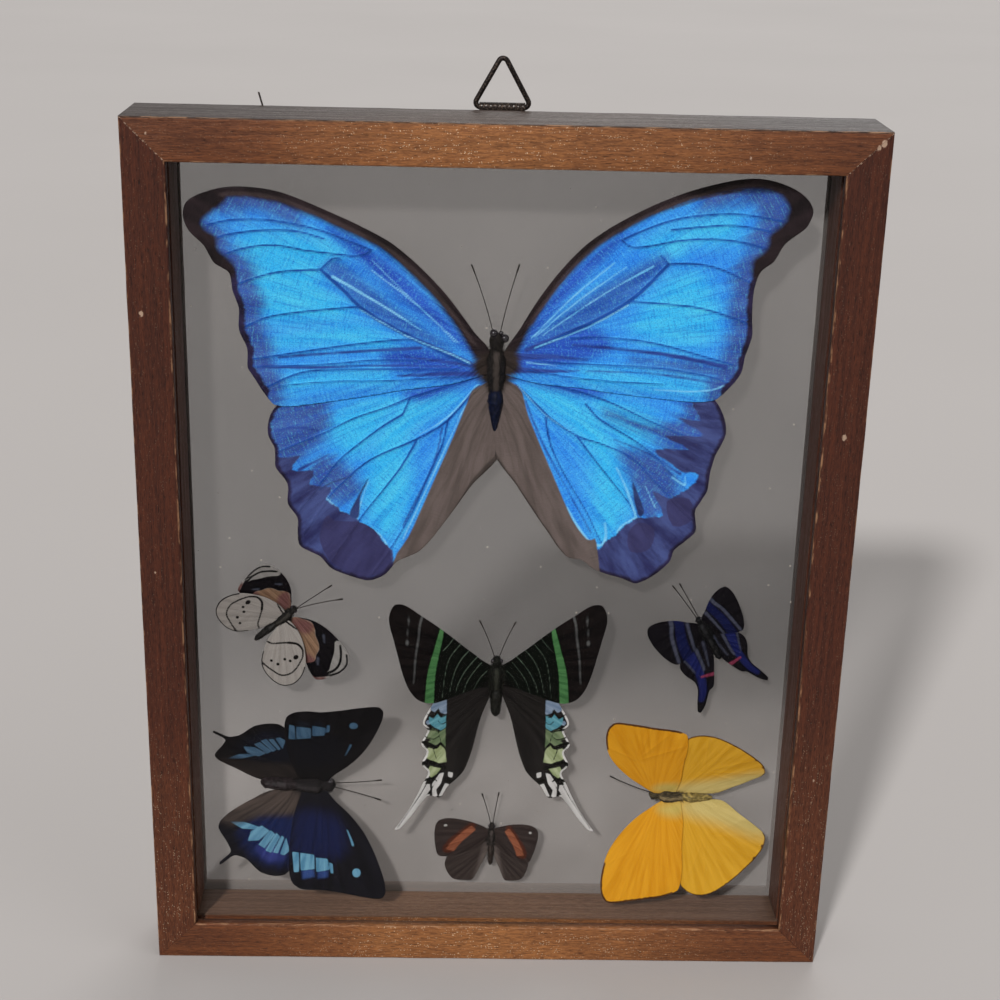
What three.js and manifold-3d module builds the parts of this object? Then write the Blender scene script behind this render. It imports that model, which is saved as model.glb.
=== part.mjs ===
// A shadow frame of stained wood with seven dried butterflies and moths between two panes.
// Millimetres. +X is to the viewer's right, +Y goes to the back, +Z is up.
// The origin is at the middle of the frame's base.
import * as THREE from 'three';
import { mergeVertices } from 'three/addons/utils/BufferGeometryUtils.js';
import Module from 'manifold-3d';

const wasm = await Module();
wasm.setup();

// ---- driving dimensions of the frame
const WIDTH = 190;
const HEIGHT = 240;
const DEPTH = 24;
const RAIL = 11; // width of a rail's front face
const ARRIS = 0.6; // rounding of the wood's long edges
const GAP = 0.3; // clearance between neighbouring pieces

// ---- panes and their grooves
const PANE = 2;
const GROOVE = PANE + 2 * GAP;
const GROOVE_DEEP = 3;
const FRONT_LIP = 2.7;
const BACK_LIP = 3.2;
const FRONT_PANE_Y = -DEPTH / 2 + FRONT_LIP + GROOVE / 2;
const BACK_PANE_Y = DEPTH / 2 - BACK_LIP - GROOVE / 2;
const BACK_PANE_FACE = BACK_PANE_Y - PANE / 2; // inner face of the back pane

// ---- hanger on the back of the top rail
const HANGER_X = -1.1;
const WIRE = 0.6; // radius of the ring's wire
const RING = { halfBase: 5.6, height: 11.2, bend: 1.2 }; // centres and radius of its three bends
const BARREL = { y: DEPTH / 2 + 1.6, z: HEIGHT + 0.5, outer: 1.3, bore: 0.95 };
const STRAP = { width: 11.8, bottom: HEIGHT - 8.5, thick: 0.8 };
const NAIL = { z: HEIGHT - 5.2, shank: 0.6, head: 1.9, headThick: 0.7, length: 7.4 };
const PIN = { x: -62.4, y: DEPTH / 2 - 0.8, radius: 0.25, deep: 3, tall: 3.4, lean: -0.9 };

// ---- insects
const WING_THICK = 0.5;
const BODY_DEPTH = 1.5; // a body is this much deeper than it is wide
const ANTENNA = 0.2;
const BODY_SIDES = 10;
const degrees = THREE.MathUtils.degToRad;

// ---------------------------------------------------------------- helpers

function finish(colour, roughness, metalness = 0) {
  return new THREE.MeshStandardMaterial({ color: colour, roughness, metalness });
}

function named(name, geometry, material) {
  const mesh = new THREE.Mesh(geometry, material);
  mesh.name = name;
  return mesh;
}

// A geometry as a manifold solid: shared vertices, and no triangle of zero width.
function solid(geometry) {
  const bare = geometry.clone();
  bare.deleteAttribute('normal');
  bare.deleteAttribute('uv');
  const merged = mergeVertices(bare, 1e-4);
  const kept = [];
  const index = merged.index.array;
  for (let i = 0; i < index.length; i += 3) {
    const [a, b, c] = [index[i], index[i + 1], index[i + 2]];
    if (a !== b && b !== c && c !== a) kept.push(a, b, c);
  }
  return new wasm.Manifold(new wasm.Mesh({
    numProp: 3,
    vertProperties: new Float32Array(merged.attributes.position.array),
    triVerts: new Uint32Array(kept),
  }));
}

function geometryOf(manifold) {
  const mesh = manifold.getMesh();
  const geometry = new THREE.BufferGeometry();
  geometry.setAttribute('position', new THREE.BufferAttribute(mesh.vertProperties, 3));
  geometry.setIndex(new THREE.BufferAttribute(mesh.triVerts, 1));
  return geometry;
}

function joined(geometries) {
  return geometryOf(geometries.map(solid).reduce((whole, next) => whole.add(next)));
}

function cutBy(geometry, cutters) {
  return geometryOf(cutters.map(solid).reduce((left, cutter) => left.subtract(cutter), solid(geometry)));
}

// A round bar along Y, from y0 to y1.
function barAlongY(radius, x, y0, y1, z, sides = 12) {
  return new THREE.CylinderGeometry(radius, radius, y1 - y0, sides).translate(x, (y0 + y1) / 2, z);
}

// A round bar along Z, from z0 to z1, whose upper half leans sideways.
function barAlongZ(radius, x, y, z0, z1, lean = 0) {
  const bar = new THREE.CylinderGeometry(radius, radius, z1 - z0, 8, 2);
  bar.rotateX(Math.PI / 2).translate(x, y, (z0 + z1) / 2);
  const place = bar.attributes.position;
  for (let i = 0; i < place.count; i += 1) {
    if (place.getZ(i) > z1 - 0.01) place.setX(i, place.getX(i) + lean);
  }
  return bar;
}

// ---------------------------------------------------------------- the wooden frame

// The rail's section: x is the distance in from the frame's outside, y is the depth.
function railSection() {
  const front = -DEPTH / 2;
  const back = DEPTH / 2;
  const section = new THREE.Shape();
  section.moveTo(ARRIS, front);
  section.lineTo(RAIL - ARRIS, front);
  section.quadraticCurveTo(RAIL, front, RAIL, front + ARRIS);
  for (const middle of [FRONT_PANE_Y, BACK_PANE_Y]) {
    section.lineTo(RAIL, middle - GROOVE / 2);
    section.lineTo(RAIL - GROOVE_DEEP, middle - GROOVE / 2);
    section.lineTo(RAIL - GROOVE_DEEP, middle + GROOVE / 2);
    section.lineTo(RAIL, middle + GROOVE / 2);
  }
  section.lineTo(RAIL, back - ARRIS);
  section.quadraticCurveTo(RAIL, back, RAIL - ARRIS, back);
  section.lineTo(ARRIS, back);
  section.quadraticCurveTo(0, back, 0, back - ARRIS);
  section.lineTo(0, front + ARRIS);
  section.quadraticCurveTo(0, front, ARRIS, front);
  return section;
}

// A rail along X with mitred ends, its outside on z = 0 and its inside upwards.
function rail(length) {
  const geometry = new THREE.ExtrudeGeometry(railSection(), {
    depth: length, steps: 1, bevelEnabled: false, curveSegments: 3,
  });
  const place = geometry.attributes.position;
  for (let i = 0; i < place.count; i += 1) {
    const inward = place.getX(i);
    const end = Math.sign(place.getZ(i) - length / 2);
    const along = end * (length / 2 - inward - GAP * Math.SQRT1_2);
    place.setXYZ(i, -along, place.getY(i), inward);
  }
  return geometry;
}

function pane() {
  const edge = 2 * (RAIL - GROOVE_DEEP + GAP);
  return new THREE.BoxGeometry(WIDTH - edge, PANE, HEIGHT - edge);
}

function woodenFrame() {
  const wood = finish(0x8c4a28, 0.5);
  const nailHole = barAlongY(NAIL.shank + GAP, HANGER_X, DEPTH / 2 - 7, DEPTH / 2 + 1, NAIL.z);
  const pinHole = barAlongZ(PIN.radius + GAP, PIN.x, PIN.y, HEIGHT - PIN.deep - GAP, HEIGHT + 1);
  const top = rail(WIDTH).rotateY(Math.PI).translate(0, 0, HEIGHT);
  const bottom = named('rail_bottom', rail(WIDTH), wood);
  const left = named('rail_left', rail(HEIGHT), wood.clone());
  left.rotation.y = Math.PI / 2;
  left.position.set(-WIDTH / 2, 0, HEIGHT / 2);
  const right = named('rail_right', rail(HEIGHT), wood.clone());
  right.rotation.y = -Math.PI / 2;
  right.position.set(WIDTH / 2, 0, HEIGHT / 2);
  return [bottom, left, right, named('rail_top', cutBy(top, [nailHole, pinHole]), wood.clone())];
}

function panes() {
  const glass = finish(0xd8dcd8, 0.05);
  const front = named('glass_front', pane(), glass);
  front.position.set(0, FRONT_PANE_Y, HEIGHT / 2);
  const back = named('glass_back', pane(), glass.clone());
  back.position.set(0, BACK_PANE_Y, HEIGHT / 2);
  return [front, back];
}

// ---------------------------------------------------------------- the hanger

// A triangle with round corners, at a distance from the line through the three bends.
function roundTriangle(path, distance) {
  const corners = [
    [-RING.halfBase, RING.bend],
    [RING.halfBase, RING.bend],
    [0, RING.height],
  ];
  const slope = Math.atan2(RING.height - RING.bend, RING.halfBase);
  const starts = [Math.PI / 2 + slope, -Math.PI / 2, Math.PI / 2 - slope];
  const sweeps = [Math.PI - slope, Math.PI - slope, 2 * slope];
  corners.forEach(([x, y], i) => {
    path.absarc(x, y, RING.bend + distance, starts[i], starts[i] + sweeps[i], false);
  });
  path.closePath();
  return path;
}

function hangerRing() {
  const flat = WIRE * 0.4;
  const ring = roundTriangle(new THREE.Shape(), flat);
  ring.holes.push(roundTriangle(new THREE.Path(), -flat));
  return new THREE.ExtrudeGeometry(ring, {
    depth: 2 * flat,
    steps: 1,
    bevelSize: WIRE - flat,
    bevelThickness: WIRE - flat,
    bevelSegments: 2,
    curveSegments: 5,
  }).translate(0, 0, -flat).rotateX(Math.PI / 2).translate(HANGER_X, BARREL.y, BARREL.z);
}

// The strap's section: x is the depth, y is the height.
function hangerStrap() {
  const face = BARREL.y - BARREL.outer;
  const inner = face + STRAP.thick;
  const meet = Math.asin((inner - BARREL.y) / BARREL.outer) - Math.PI / 2;
  const section = new THREE.Shape();
  section.moveTo(face, STRAP.bottom);
  section.lineTo(inner, STRAP.bottom);
  section.absarc(BARREL.y, BARREL.z, BARREL.outer, meet, Math.PI, false);
  section.closePath();
  const bore = new THREE.Path();
  bore.absarc(BARREL.y, BARREL.z, BARREL.bore, 0, 2 * Math.PI, true);
  section.holes.push(bore);
  const strap = new THREE.ExtrudeGeometry(section, {
    depth: STRAP.width, steps: 1, bevelEnabled: false, curveSegments: 12,
  });
  strap.applyMatrix4(new THREE.Matrix4().set(0, 0, 1, 0, 1, 0, 0, 0, 0, 1, 0, 0, 0, 0, 0, 1));
  strap.translate(HANGER_X - STRAP.width / 2, 0, 0);
  const hole = barAlongY(NAIL.shank + GAP, HANGER_X, DEPTH / 2 - 1, DEPTH / 2 + 3, NAIL.z);
  return cutBy(strap, [hole]);
}

function hangerNail() {
  const under = BARREL.y - BARREL.outer + STRAP.thick + GAP;
  const shank = barAlongY(NAIL.shank, HANGER_X, under - NAIL.length, under + 0.1, NAIL.z);
  const head = barAlongY(NAIL.head, HANGER_X, under, under + NAIL.headThick, NAIL.z, 16);
  return joined([shank, head]);
}

function bentPin() {
  return barAlongZ(PIN.radius, PIN.x, PIN.y, HEIGHT - PIN.deep, HEIGHT + PIN.tall, PIN.lean);
}

function hanger() {
  const steel = finish(0x2b2624, 0.45, 0.8);
  return [
    named('hanger_ring', hangerRing(), steel),
    named('hanger_strap', hangerStrap(), steel.clone()),
    named('hanger_nail', hangerNail(), finish(0x6b6660, 0.4, 0.9)),
    named('bent_pin', bentPin(), finish(0x4a4442, 0.4, 0.9)),
  ];
}

// ---------------------------------------------------------------- insects

// An insect is drawn from the front of its head: u runs out to its right, v runs towards the head.
// A wing is drawn once and mirrored for the left, unless the right one has an outline of its own.
// fore and hind hold a wing's turn towards the head, in degrees, and the stretch of its reach.
// slip moves a side's wings along the body, raise lifts their tips, heading is clockwise from up.
const INSECTS = [
  {
    name: 'morpho', x: -1.3, z: 183.8, heading: 0, raise: 4, colour: 0x2a7fd4, bodyColour: 0x1c1a20,
    body: { length: 27.4, head: 2, thorax: 2.9, waist: 16.8, abdomen: 2 },
    antennae: [[-7, 18.5], [5.4, 18.8]],
    left: { slip: 0, fore: [0.5, 1], hind: [0.4, 1] },
    right: { slip: 0, fore: [0, 1], hind: [0, 1] },
    forewing: [
      [3.4, -4.5], [8, 3], [16, 13], [27, 23], [35, 27.5], [45, 32], [57, 36.5], [68, 37.5], [75, 36],
      [79.5, 33.5], [80.5, 30], [79, 26], [75.5, 22.5], [73, 18], [69.3, 15.5], [68.5, 11], [66.9, 5.8],
      [67, 0.5], [65, -4.5], [65, -9.3], [63, -13], [60.5, -17], [57.5, -20], [45, -19], [24, -15.5],
      [3.4, -11],
    ],
    hindwing: [
      [3.4, -9.5], [20, -12.5], [40, -15.5], [54, -17.5], [59, -22], [60, -28], [58.3, -32], [58, -37.5],
      [55, -42], [55, -47.5], [52.5, -51.5], [52, -59.5], [46.5, -62.8], [43.5, -66.3], [38.5, -68.5],
      [33, -70], [28.5, -68], [25.5, -64.5], [19.5, -61.5], [14, -54.8], [7.5, -45], [1.5, -35],
      [0.4, -29], [2.2, -21], [3.2, -14],
    ],
    rightForewing: [
      [3.4, -5], [7.2, 3.6], [14, 14.5], [22.4, 24.3], [32, 31.2], [44.4, 37.5], [57, 41.6], [65.5, 42.7],
      [73, 41], [77.8, 38], [79.5, 34.6], [77.6, 30.2], [73.1, 26.4], [70.7, 21.9], [67.4, 18.9],
      [66, 13.6], [66.1, 6.2], [66.4, 1.9], [65, -3.6], [64.3, -8.2], [61, -13], [57, -16.2],
      [42, -16], [22, -14], [3.4, -11],
    ],
    rightHindwing: [
      [3.4, -9.5], [20, -11.5], [40, -13], [55, -14], [59.4, -18], [61.5, -25], [59.2, -31.2],
      [58, -36.6], [57.5, -41.8], [54.7, -47.4], [55.1, -53.4], [49.8, -58.9], [48.4, -62.8],
      [40.3, -69.2], [36, -68], [28.3, -65.7], [24.9, -63.2], [20.5, -62.2], [15.3, -55.5], [9.3, -46.8],
      [3.8, -37.6], [1.1, -28.5], [2.4, -21], [3.2, -14],
    ],
  },
  {
    name: 'white_dotted', x: -55.2, z: 103.8, heading: 49, raise: 12, colour: 0xd8d2cc, bodyColour: 0x3a3230,
    body: { length: 15.7, head: 1, thorax: 1.6, waist: 7.6, abdomen: 1.2 },
    antennae: [[1.2, 12.2], [6.3, 11.8]],
    underside: true,
    left: { slip: 0.8, fore: [2.3, 0.8], hind: [0.4, 1] },
    right: { slip: -0.2, fore: [1.4, 1.04], hind: [0.3, 1.01] },
    forewing: [
      [2.4, -2], [5, 0.8], [9, 2.6], [14, 3.2], [18.3, 2.8], [20.6, 1.2], [21.2, -2.2], [20, -7],
      [18.2, -9.5], [13, -8.3], [8, -6.2], [2.4, -4.5],
    ],
    hindwing: [
      [2.2, -3.8], [7, -4], [12, -6.5], [15.2, -9.8], [16.3, -14], [14.6, -17.5], [10.5, -18.9],
      [6.2, -18], [3, -13.5], [2, -8.5],
    ],
  },
  {
    name: 'green_urania', x: 0.9, z: 90, heading: 0, raise: 9, colour: 0x1f2a1c, bodyColour: 0x2a2a1c,
    body: { length: 18.8, head: 1.2, thorax: 1.8, waist: 9.6, abdomen: 1.6 },
    antennae: [[-5.1, 11.5], [5, 11.2]],
    left: { slip: 0.1, fore: [0, 1], hind: [0, 1.01] },
    right: { slip: 0.3, fore: [1.1, 1.01], hind: [0.4, 1.02] },
    forewing: [
      [2.2, -3.8], [9, 3], [16.6, 9.6], [22, 13.8], [26.5, 17], [29.2, 17], [30.6, 13.5], [30.2, 10],
      [29.3, 6.5], [27.4, -1.5], [25.3, -8.2], [22.5, -12.3], [18.5, -13.7], [12, -12], [6, -10],
      [2.2, -9],
    ],
    hindwing: [
      [2.2, -8], [9, -9.5], [15.5, -11.5], [18, -14.5], [20.6, -20.2], [19.2, -22.4], [21, -26.6],
      [19.4, -29.2], [20.8, -33], [19, -35.6], [20.6, -39.8], [24, -47], [27.6, -52.6], [28.4, -53.8],
      [26.8, -53.4], [22, -47.2], [18.6, -43.4], [15.6, -44.2], [13.4, -40.8], [11, -38.6], [8.6, -35.6],
      [6.1, -27.7], [4.3, -19.2], [2.6, -12],
    ],
  },
  {
    name: 'tailed_metalmark', x: 56.7, z: 102.5, heading: -30, raise: 12, colour: 0x1c2440,
    bodyColour: 0x1a1718,
    body: { length: 14.7, head: 0.9, thorax: 1.2, waist: 6.8, abdomen: 1 },
    antennae: [[-1.7, 12.3], [0.3, 11.9]],
    left: { slip: -0.4, fore: [3.1, 1.09], hind: [2.4, 1.08] },
    right: { slip: 0, fore: [4.4, 0.93], hind: [-2.4, 0.92] },
    forewing: [
      [1.6, -1.6], [3.6, 1], [7, 3.6], [10.8, 5], [13, 4.8], [13.9, 2.2], [13.4, -2.4], [11.8, -7.2],
      [10, -9.4], [6, -8.6], [1.6, -6],
    ],
    hindwing: [
      [1.6, -5.5], [5, -7], [9, -8.8], [10.3, -11], [9.8, -14], [8.5, -16.8], [8.8, -19.8],
      [11.2, -25.2], [10.6, -26], [8.4, -24.4], [6, -21.4], [4.8, -21], [3.5, -18.9], [1.7, -13],
    ],
  },
  {
    name: 'blue_banded', x: -44.5, z: 48.6, heading: 92, raise: 15, colour: 0x16294f, bodyColour: 0x3a2c22,
    body: { length: 21.8, head: 1.8, thorax: 2.2, waist: 11.5, abdomen: 1.9 },
    antennae: [[-3.2, 13.1], [3.3, 13.1]],
    left: { slip: -0.3, fore: [-1.6, 0.97], hind: [-2.8, 0.9] },
    right: { slip: 0.1, fore: [3.4, 1.08], hind: [2.7, 1.08] },
    forewing: [
      [2.5, -3.8], [4.6, -0.4], [8.5, 4], [14.5, 8.6], [24, 12.8], [29.6, 14], [31.4, 12.8], [31.2, 8.8],
      [30, 2.8], [28.9, -4], [28.6, -10], [26.6, -13], [22, -13.8], [12, -13], [2.5, -9.5],
    ],
    hindwing: [
      [2.5, -8.5], [12, -10.5], [21, -12], [24.8, -14.6], [25.2, -18.4], [23.8, -22.4], [20.8, -25.6],
      [19.6, -29.4], [22, -33.2], [21.4, -33.6], [18.6, -30.4], [15, -32], [12, -33.8], [9.8, -33],
      [6, -27.6], [3.2, -21], [2.5, -14],
    ],
  },
  {
    name: 'orange_banded', x: 0.7, z: 35.8, heading: 1, raise: 9, colour: 0x3a2118, bodyColour: 0x2a1c16,
    body: { length: 14.1, head: 0.9, thorax: 1.3, waist: 6.8, abdomen: 1.1 },
    antennae: [[-3.3, 10.1], [1.6, 10.6]],
    left: { slip: 0.2, fore: [6.9, 1.08], hind: [-0.4, 1.08] },
    right: { slip: 0.2, fore: [-3.2, 0.88], hind: [0.5, 0.89] },
    forewing: [
      [1.8, -1.7], [4.8, 0], [8.6, 1], [12.6, 1.3], [15, 0.4], [15.7, -1.6], [15.4, -5], [14.5, -8.8],
      [13.4, -11.2], [11, -11.4], [6, -9.6], [1.8, -6.5],
    ],
    hindwing: [
      [1.8, -6], [7, -8], [11.6, -10.2], [12.6, -12.8], [11.8, -15.8], [10.2, -18.1], [7.5, -18.8],
      [5, -18.8], [3.5, -16], [1.8, -10.9],
    ],
  },
  {
    name: 'yellow_sulphur', x: 45.9, z: 46.7, heading: -87, raise: 15, colour: 0xf0a81e,
    bodyColour: 0x8a8458,
    body: { length: 18.7, head: 1.3, thorax: 2, waist: 9.6, abdomen: 1.7 },
    antennae: [[5.7, 11.9]],
    left: { slip: -0.8, fore: [-1.9, 1.07], hind: [-4.4, 1.13] },
    right: { slip: 1, fore: [0.6, 0.91], hind: [1.7, 0.89] },
    forewing: [
      [2.5, -3], [4.8, 2], [9.4, 7.2], [15.6, 11.6], [21.6, 13.4], [27.4, 13.4], [30, 11.6], [29.9, 7],
      [28.9, 0.4], [27.8, -6], [25.6, -9.4], [14, -9.6], [2.5, -8.5],
    ],
    hindwing: [
      [2.5, -7.5], [12, -7.5], [23, -8.6], [26, -12], [26.4, -16.4], [24.2, -21.6], [20, -27.4],
      [14.8, -32.6], [11.2, -33.4], [8.2, -30], [4.8, -25], [2.8, -20.5], [2.5, -14],
    ],
  },
];

// Head, thorax and abdomen as radii along the body: x is the radius, y the place along it.
function bodyProfile({ length, head, thorax, waist, abdomen }) {
  const outline = new THREE.SplineCurve([
    [0, 0], [head, -head], [head * 0.8, -2.1 * head], [thorax, -waist * 0.45], [thorax * 0.9, -waist * 0.75],
    [abdomen * 0.7, -waist], [abdomen, -waist - (length - waist) * 0.3], [abdomen * 0.6, -length * 0.92],
    [0, -length],
  ].map(([radius, along]) => new THREE.Vector2(radius, along)));
  return outline.getPoints(16).map((p) => new THREE.Vector2(Math.max(p.x, 0), p.y));
}

// How far from the middle line a wing has to stay, at one place along the body.
function bodySide(profile, along) {
  const next = profile.findIndex((p) => p.y < along);
  if (next < 1) return GAP;
  const [a, b] = [profile[next - 1], profile[next]];
  return GAP + 1.05 * THREE.MathUtils.mapLinear(along, a.y, b.y, a.x, b.x);
}

// The closed outline of a wing, turned about its root, stretched, and cut to the body's side.
function wingShape(outline, [turn, reach], slip, side, profile) {
  const root = new THREE.Vector2(...outline[0]);
  const knots = outline.map(([u, v]) => {
    const knot = new THREE.Vector2(u, v).rotateAround(root, degrees(turn));
    return new THREE.Vector3(knot.x * reach, knot.y + slip, 0);
  });
  const edge = new THREE.CatmullRomCurve3(knots, true, 'centripetal');
  const points = edge.getPoints(outline.length * 2).slice(0, -1);
  return new THREE.Shape(points.map(({ x, y }) => (
    new THREE.Vector2(side * Math.max(x, bodySide(profile, y)), y)
  )));
}

// A wing in its insect's frame: of two wings, the one on layer 1 lies over the one on layer 0.
function wing(shape, side, raise, layer) {
  const blade = new THREE.ExtrudeGeometry(shape, { depth: WING_THICK, steps: 1, bevelEnabled: false });
  blade.translate(0, 0, layer * (WING_THICK + GAP) - WING_THICK / 2);
  return blade.rotateX(Math.PI / 2).rotateZ(-side * degrees(raise));
}

// The body without antennae: its profile turned about its length, then made deeper than wide.
function torso(profile) {
  const closed = profile.map((p) => p.clone()).reverse();
  return new THREE.LatheGeometry(closed, BODY_SIDES).rotateX(Math.PI / 2).scale(1, BODY_DEPTH, 1);
}

// A thin bowed stalk from the head, with a club at its tip.
function antenna([u, v], head) {
  const start = new THREE.Vector3(Math.sign(u) * head * 0.3, 0, -head * 0.8);
  const tip = new THREE.Vector3(u, -head, v);
  const bend = start.clone().lerp(tip, 0.5).add(new THREE.Vector3(-u * 0.12, 0, 0));
  const path = new THREE.QuadraticBezierCurve3(start, bend, tip);
  const section = new THREE.Shape();
  section.absarc(0, 0, ANTENNA, 0, 2 * Math.PI);
  const stalk = new THREE.ExtrudeGeometry(section, { steps: 6, extrudePath: path, curveSegments: 3 });
  const club = new THREE.SphereGeometry(ANTENNA * 1.8, 6, 4).scale(1, 1, 2.5).translate(tip.x, tip.y, tip.z);
  return [stalk, club];
}

function insect(spec) {
  const group = new THREE.Group();
  group.position.set(spec.x, BACK_PANE_FACE - GAP - BODY_DEPTH * spec.body.thorax, spec.z);
  group.rotation.y = degrees(spec.heading);
  const profile = bodyProfile(spec.body);
  const stalks = spec.antennae.flatMap((tip) => antenna(tip, spec.body.head));
  const body = joined([torso(profile), ...stalks]);
  group.add(named(`${spec.name}_body`, body, finish(spec.bodyColour, 0.9)));
  const foreLayer = spec.underside ? 0 : 1;
  for (const [sideName, side] of [['left', -1], ['right', 1]]) {
    const { slip, fore, hind } = spec[sideName];
    const foreOutline = (side > 0 && spec.rightForewing) || spec.forewing;
    const hindOutline = (side > 0 && spec.rightHindwing) || spec.hindwing;
    const foreShape = wingShape(foreOutline, fore, slip, side, profile);
    const hindShape = wingShape(hindOutline, hind, slip, side, profile);
    const forewing = wing(foreShape, side, spec.raise, foreLayer);
    const hindwing = wing(hindShape, side, spec.raise, 1 - foreLayer);
    group.add(named(`${spec.name}_forewing_${sideName}`, forewing, finish(spec.colour, 0.5)));
    group.add(named(`${spec.name}_hindwing_${sideName}`, hindwing, finish(spec.colour, 0.5)));
  }
  return group;
}

// ---------------------------------------------------------------- the whole object

const object = new THREE.Group();
object.add(...woodenFrame(), ...panes(), ...hanger(), ...INSECTS.map(insect));

export default object;
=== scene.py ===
"""A wooden frame with two panes of glass that holds seven dried butterflies and moths.

Metres in the frame's own axes: +X to the viewer's right, +Y to the back, +Z up.
A wing's own measures are millimetres: u runs out from the body, v runs towards the head,
and t comes out of the wing towards the viewer.
"""
import math
import random

import bmesh
import bpy
import numpy as np
from mathutils import Matrix, Vector, noise


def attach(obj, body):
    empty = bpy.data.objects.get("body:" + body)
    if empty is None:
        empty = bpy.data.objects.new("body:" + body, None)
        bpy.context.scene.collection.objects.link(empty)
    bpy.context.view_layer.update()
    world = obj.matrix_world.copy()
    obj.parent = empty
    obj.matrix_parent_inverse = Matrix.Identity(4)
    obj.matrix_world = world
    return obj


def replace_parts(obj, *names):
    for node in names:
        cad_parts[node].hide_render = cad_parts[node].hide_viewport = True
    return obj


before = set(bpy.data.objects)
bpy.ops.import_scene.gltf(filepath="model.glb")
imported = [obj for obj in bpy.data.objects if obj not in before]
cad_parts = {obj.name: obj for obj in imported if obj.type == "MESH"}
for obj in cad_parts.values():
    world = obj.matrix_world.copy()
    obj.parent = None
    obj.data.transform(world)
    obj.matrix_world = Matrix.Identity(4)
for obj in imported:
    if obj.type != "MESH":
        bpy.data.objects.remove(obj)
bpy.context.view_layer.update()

MM = 0.001

# ---- driving dimensions of the frame, in millimetres
WIDTH = 190
HEIGHT = 240
DEPTH = 24
RAIL = 11
BACK_PANE_FACE = 6.5
GAP = 0.3
HANGER_X = -1.1
WIRE = 0.6
RING = {"half_base": 5.6, "height": 11.2, "bend": 1.2}
NICKS = [(-91.5, 190.7, 0.55), (89.5, 161.1, 0.6), (92.6, 237.2, 0.7), (91.4, 236.2, 0.5),
         (-88.4, 236, 0.25), (60, 233, 0.25), (-30, 236.4, 0.2), (-91, 120, 0.2), (90, 60, 0.25)]
BARREL = {"y": DEPTH / 2 + 1.6, "z": HEIGHT + 0.5, "outer": 1.3, "bore": 0.95}
STRAP_WIDTH = 11.8
DIMPLES = 10  # stamped dots along the strap's rolled edge
WIRE_COAT = 1.12  # the ring's wire with its black paint, against the bare wire
BEND_STEPS = 8  # steps round each bend of the ring
RAIL_STEP = 3  # how far apart a rail is cut across, to let its faces wander
MITRE_FILL = 0.18  # how far a mitre's face grows towards its neighbour

# ---- insects, in millimetres
BODY_DEPTH = 1.5  # a body's depth against its width
TORSO_DEPTH = 0.94 * BODY_DEPTH
HAIRS = 450  # hairs on a body, and as many in its fringe
WING_CELL = 0.46  # spacing of a large wing's mesh
SMALL_CELL = 0.36  # spacing of a small wing's mesh
SHEET = 0.22  # thickness of a wing
SETTLED = 0.4  # how far a forewing's rear edge lies down on the hindwing
SETTLED_REACH = 1.8  # how far in from that edge the forewing bends down
SUNK = 0.12  # how far a wing's sheet lies under its solid's face
WAVE = 0.1  # height of a wing's soft waves
PLEAT = 0.07  # height of the ridge along a vein
HAIR = 0.06  # radius of a hair at its foot
STALK = 0.13  # radius of an antenna
CLUB = 0.16  # how much thicker its club is

# ---- the stage: where the eye stands, which way it looks and is turned up, and its lens in millimetres
EYE = (-10.534, -453.085, 304.727)
LOOK = (0.02298407, 0.93811898, -0.34554958)
UP = (-0.01680453, 0.34595459, 0.93810076)
LENS = 64.3718
SENSOR = 36
FLOOR = 12  # half the floor's side, in metres

SEED = 7

random.seed(SEED)
noise.seed_set(SEED)


# ---------------------------------------------------------------- words for materials


def linear(red, green, blue):
    """A screen colour, 0 to 255 a channel, as a shader's linear colour."""
    shares = [channel / 255 for channel in (red, green, blue)]
    return tuple(s / 12.92 if s < 0.04 else ((s + 0.055) / 1.055) ** 2.4 for s in shares) + (1.0,)


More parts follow.
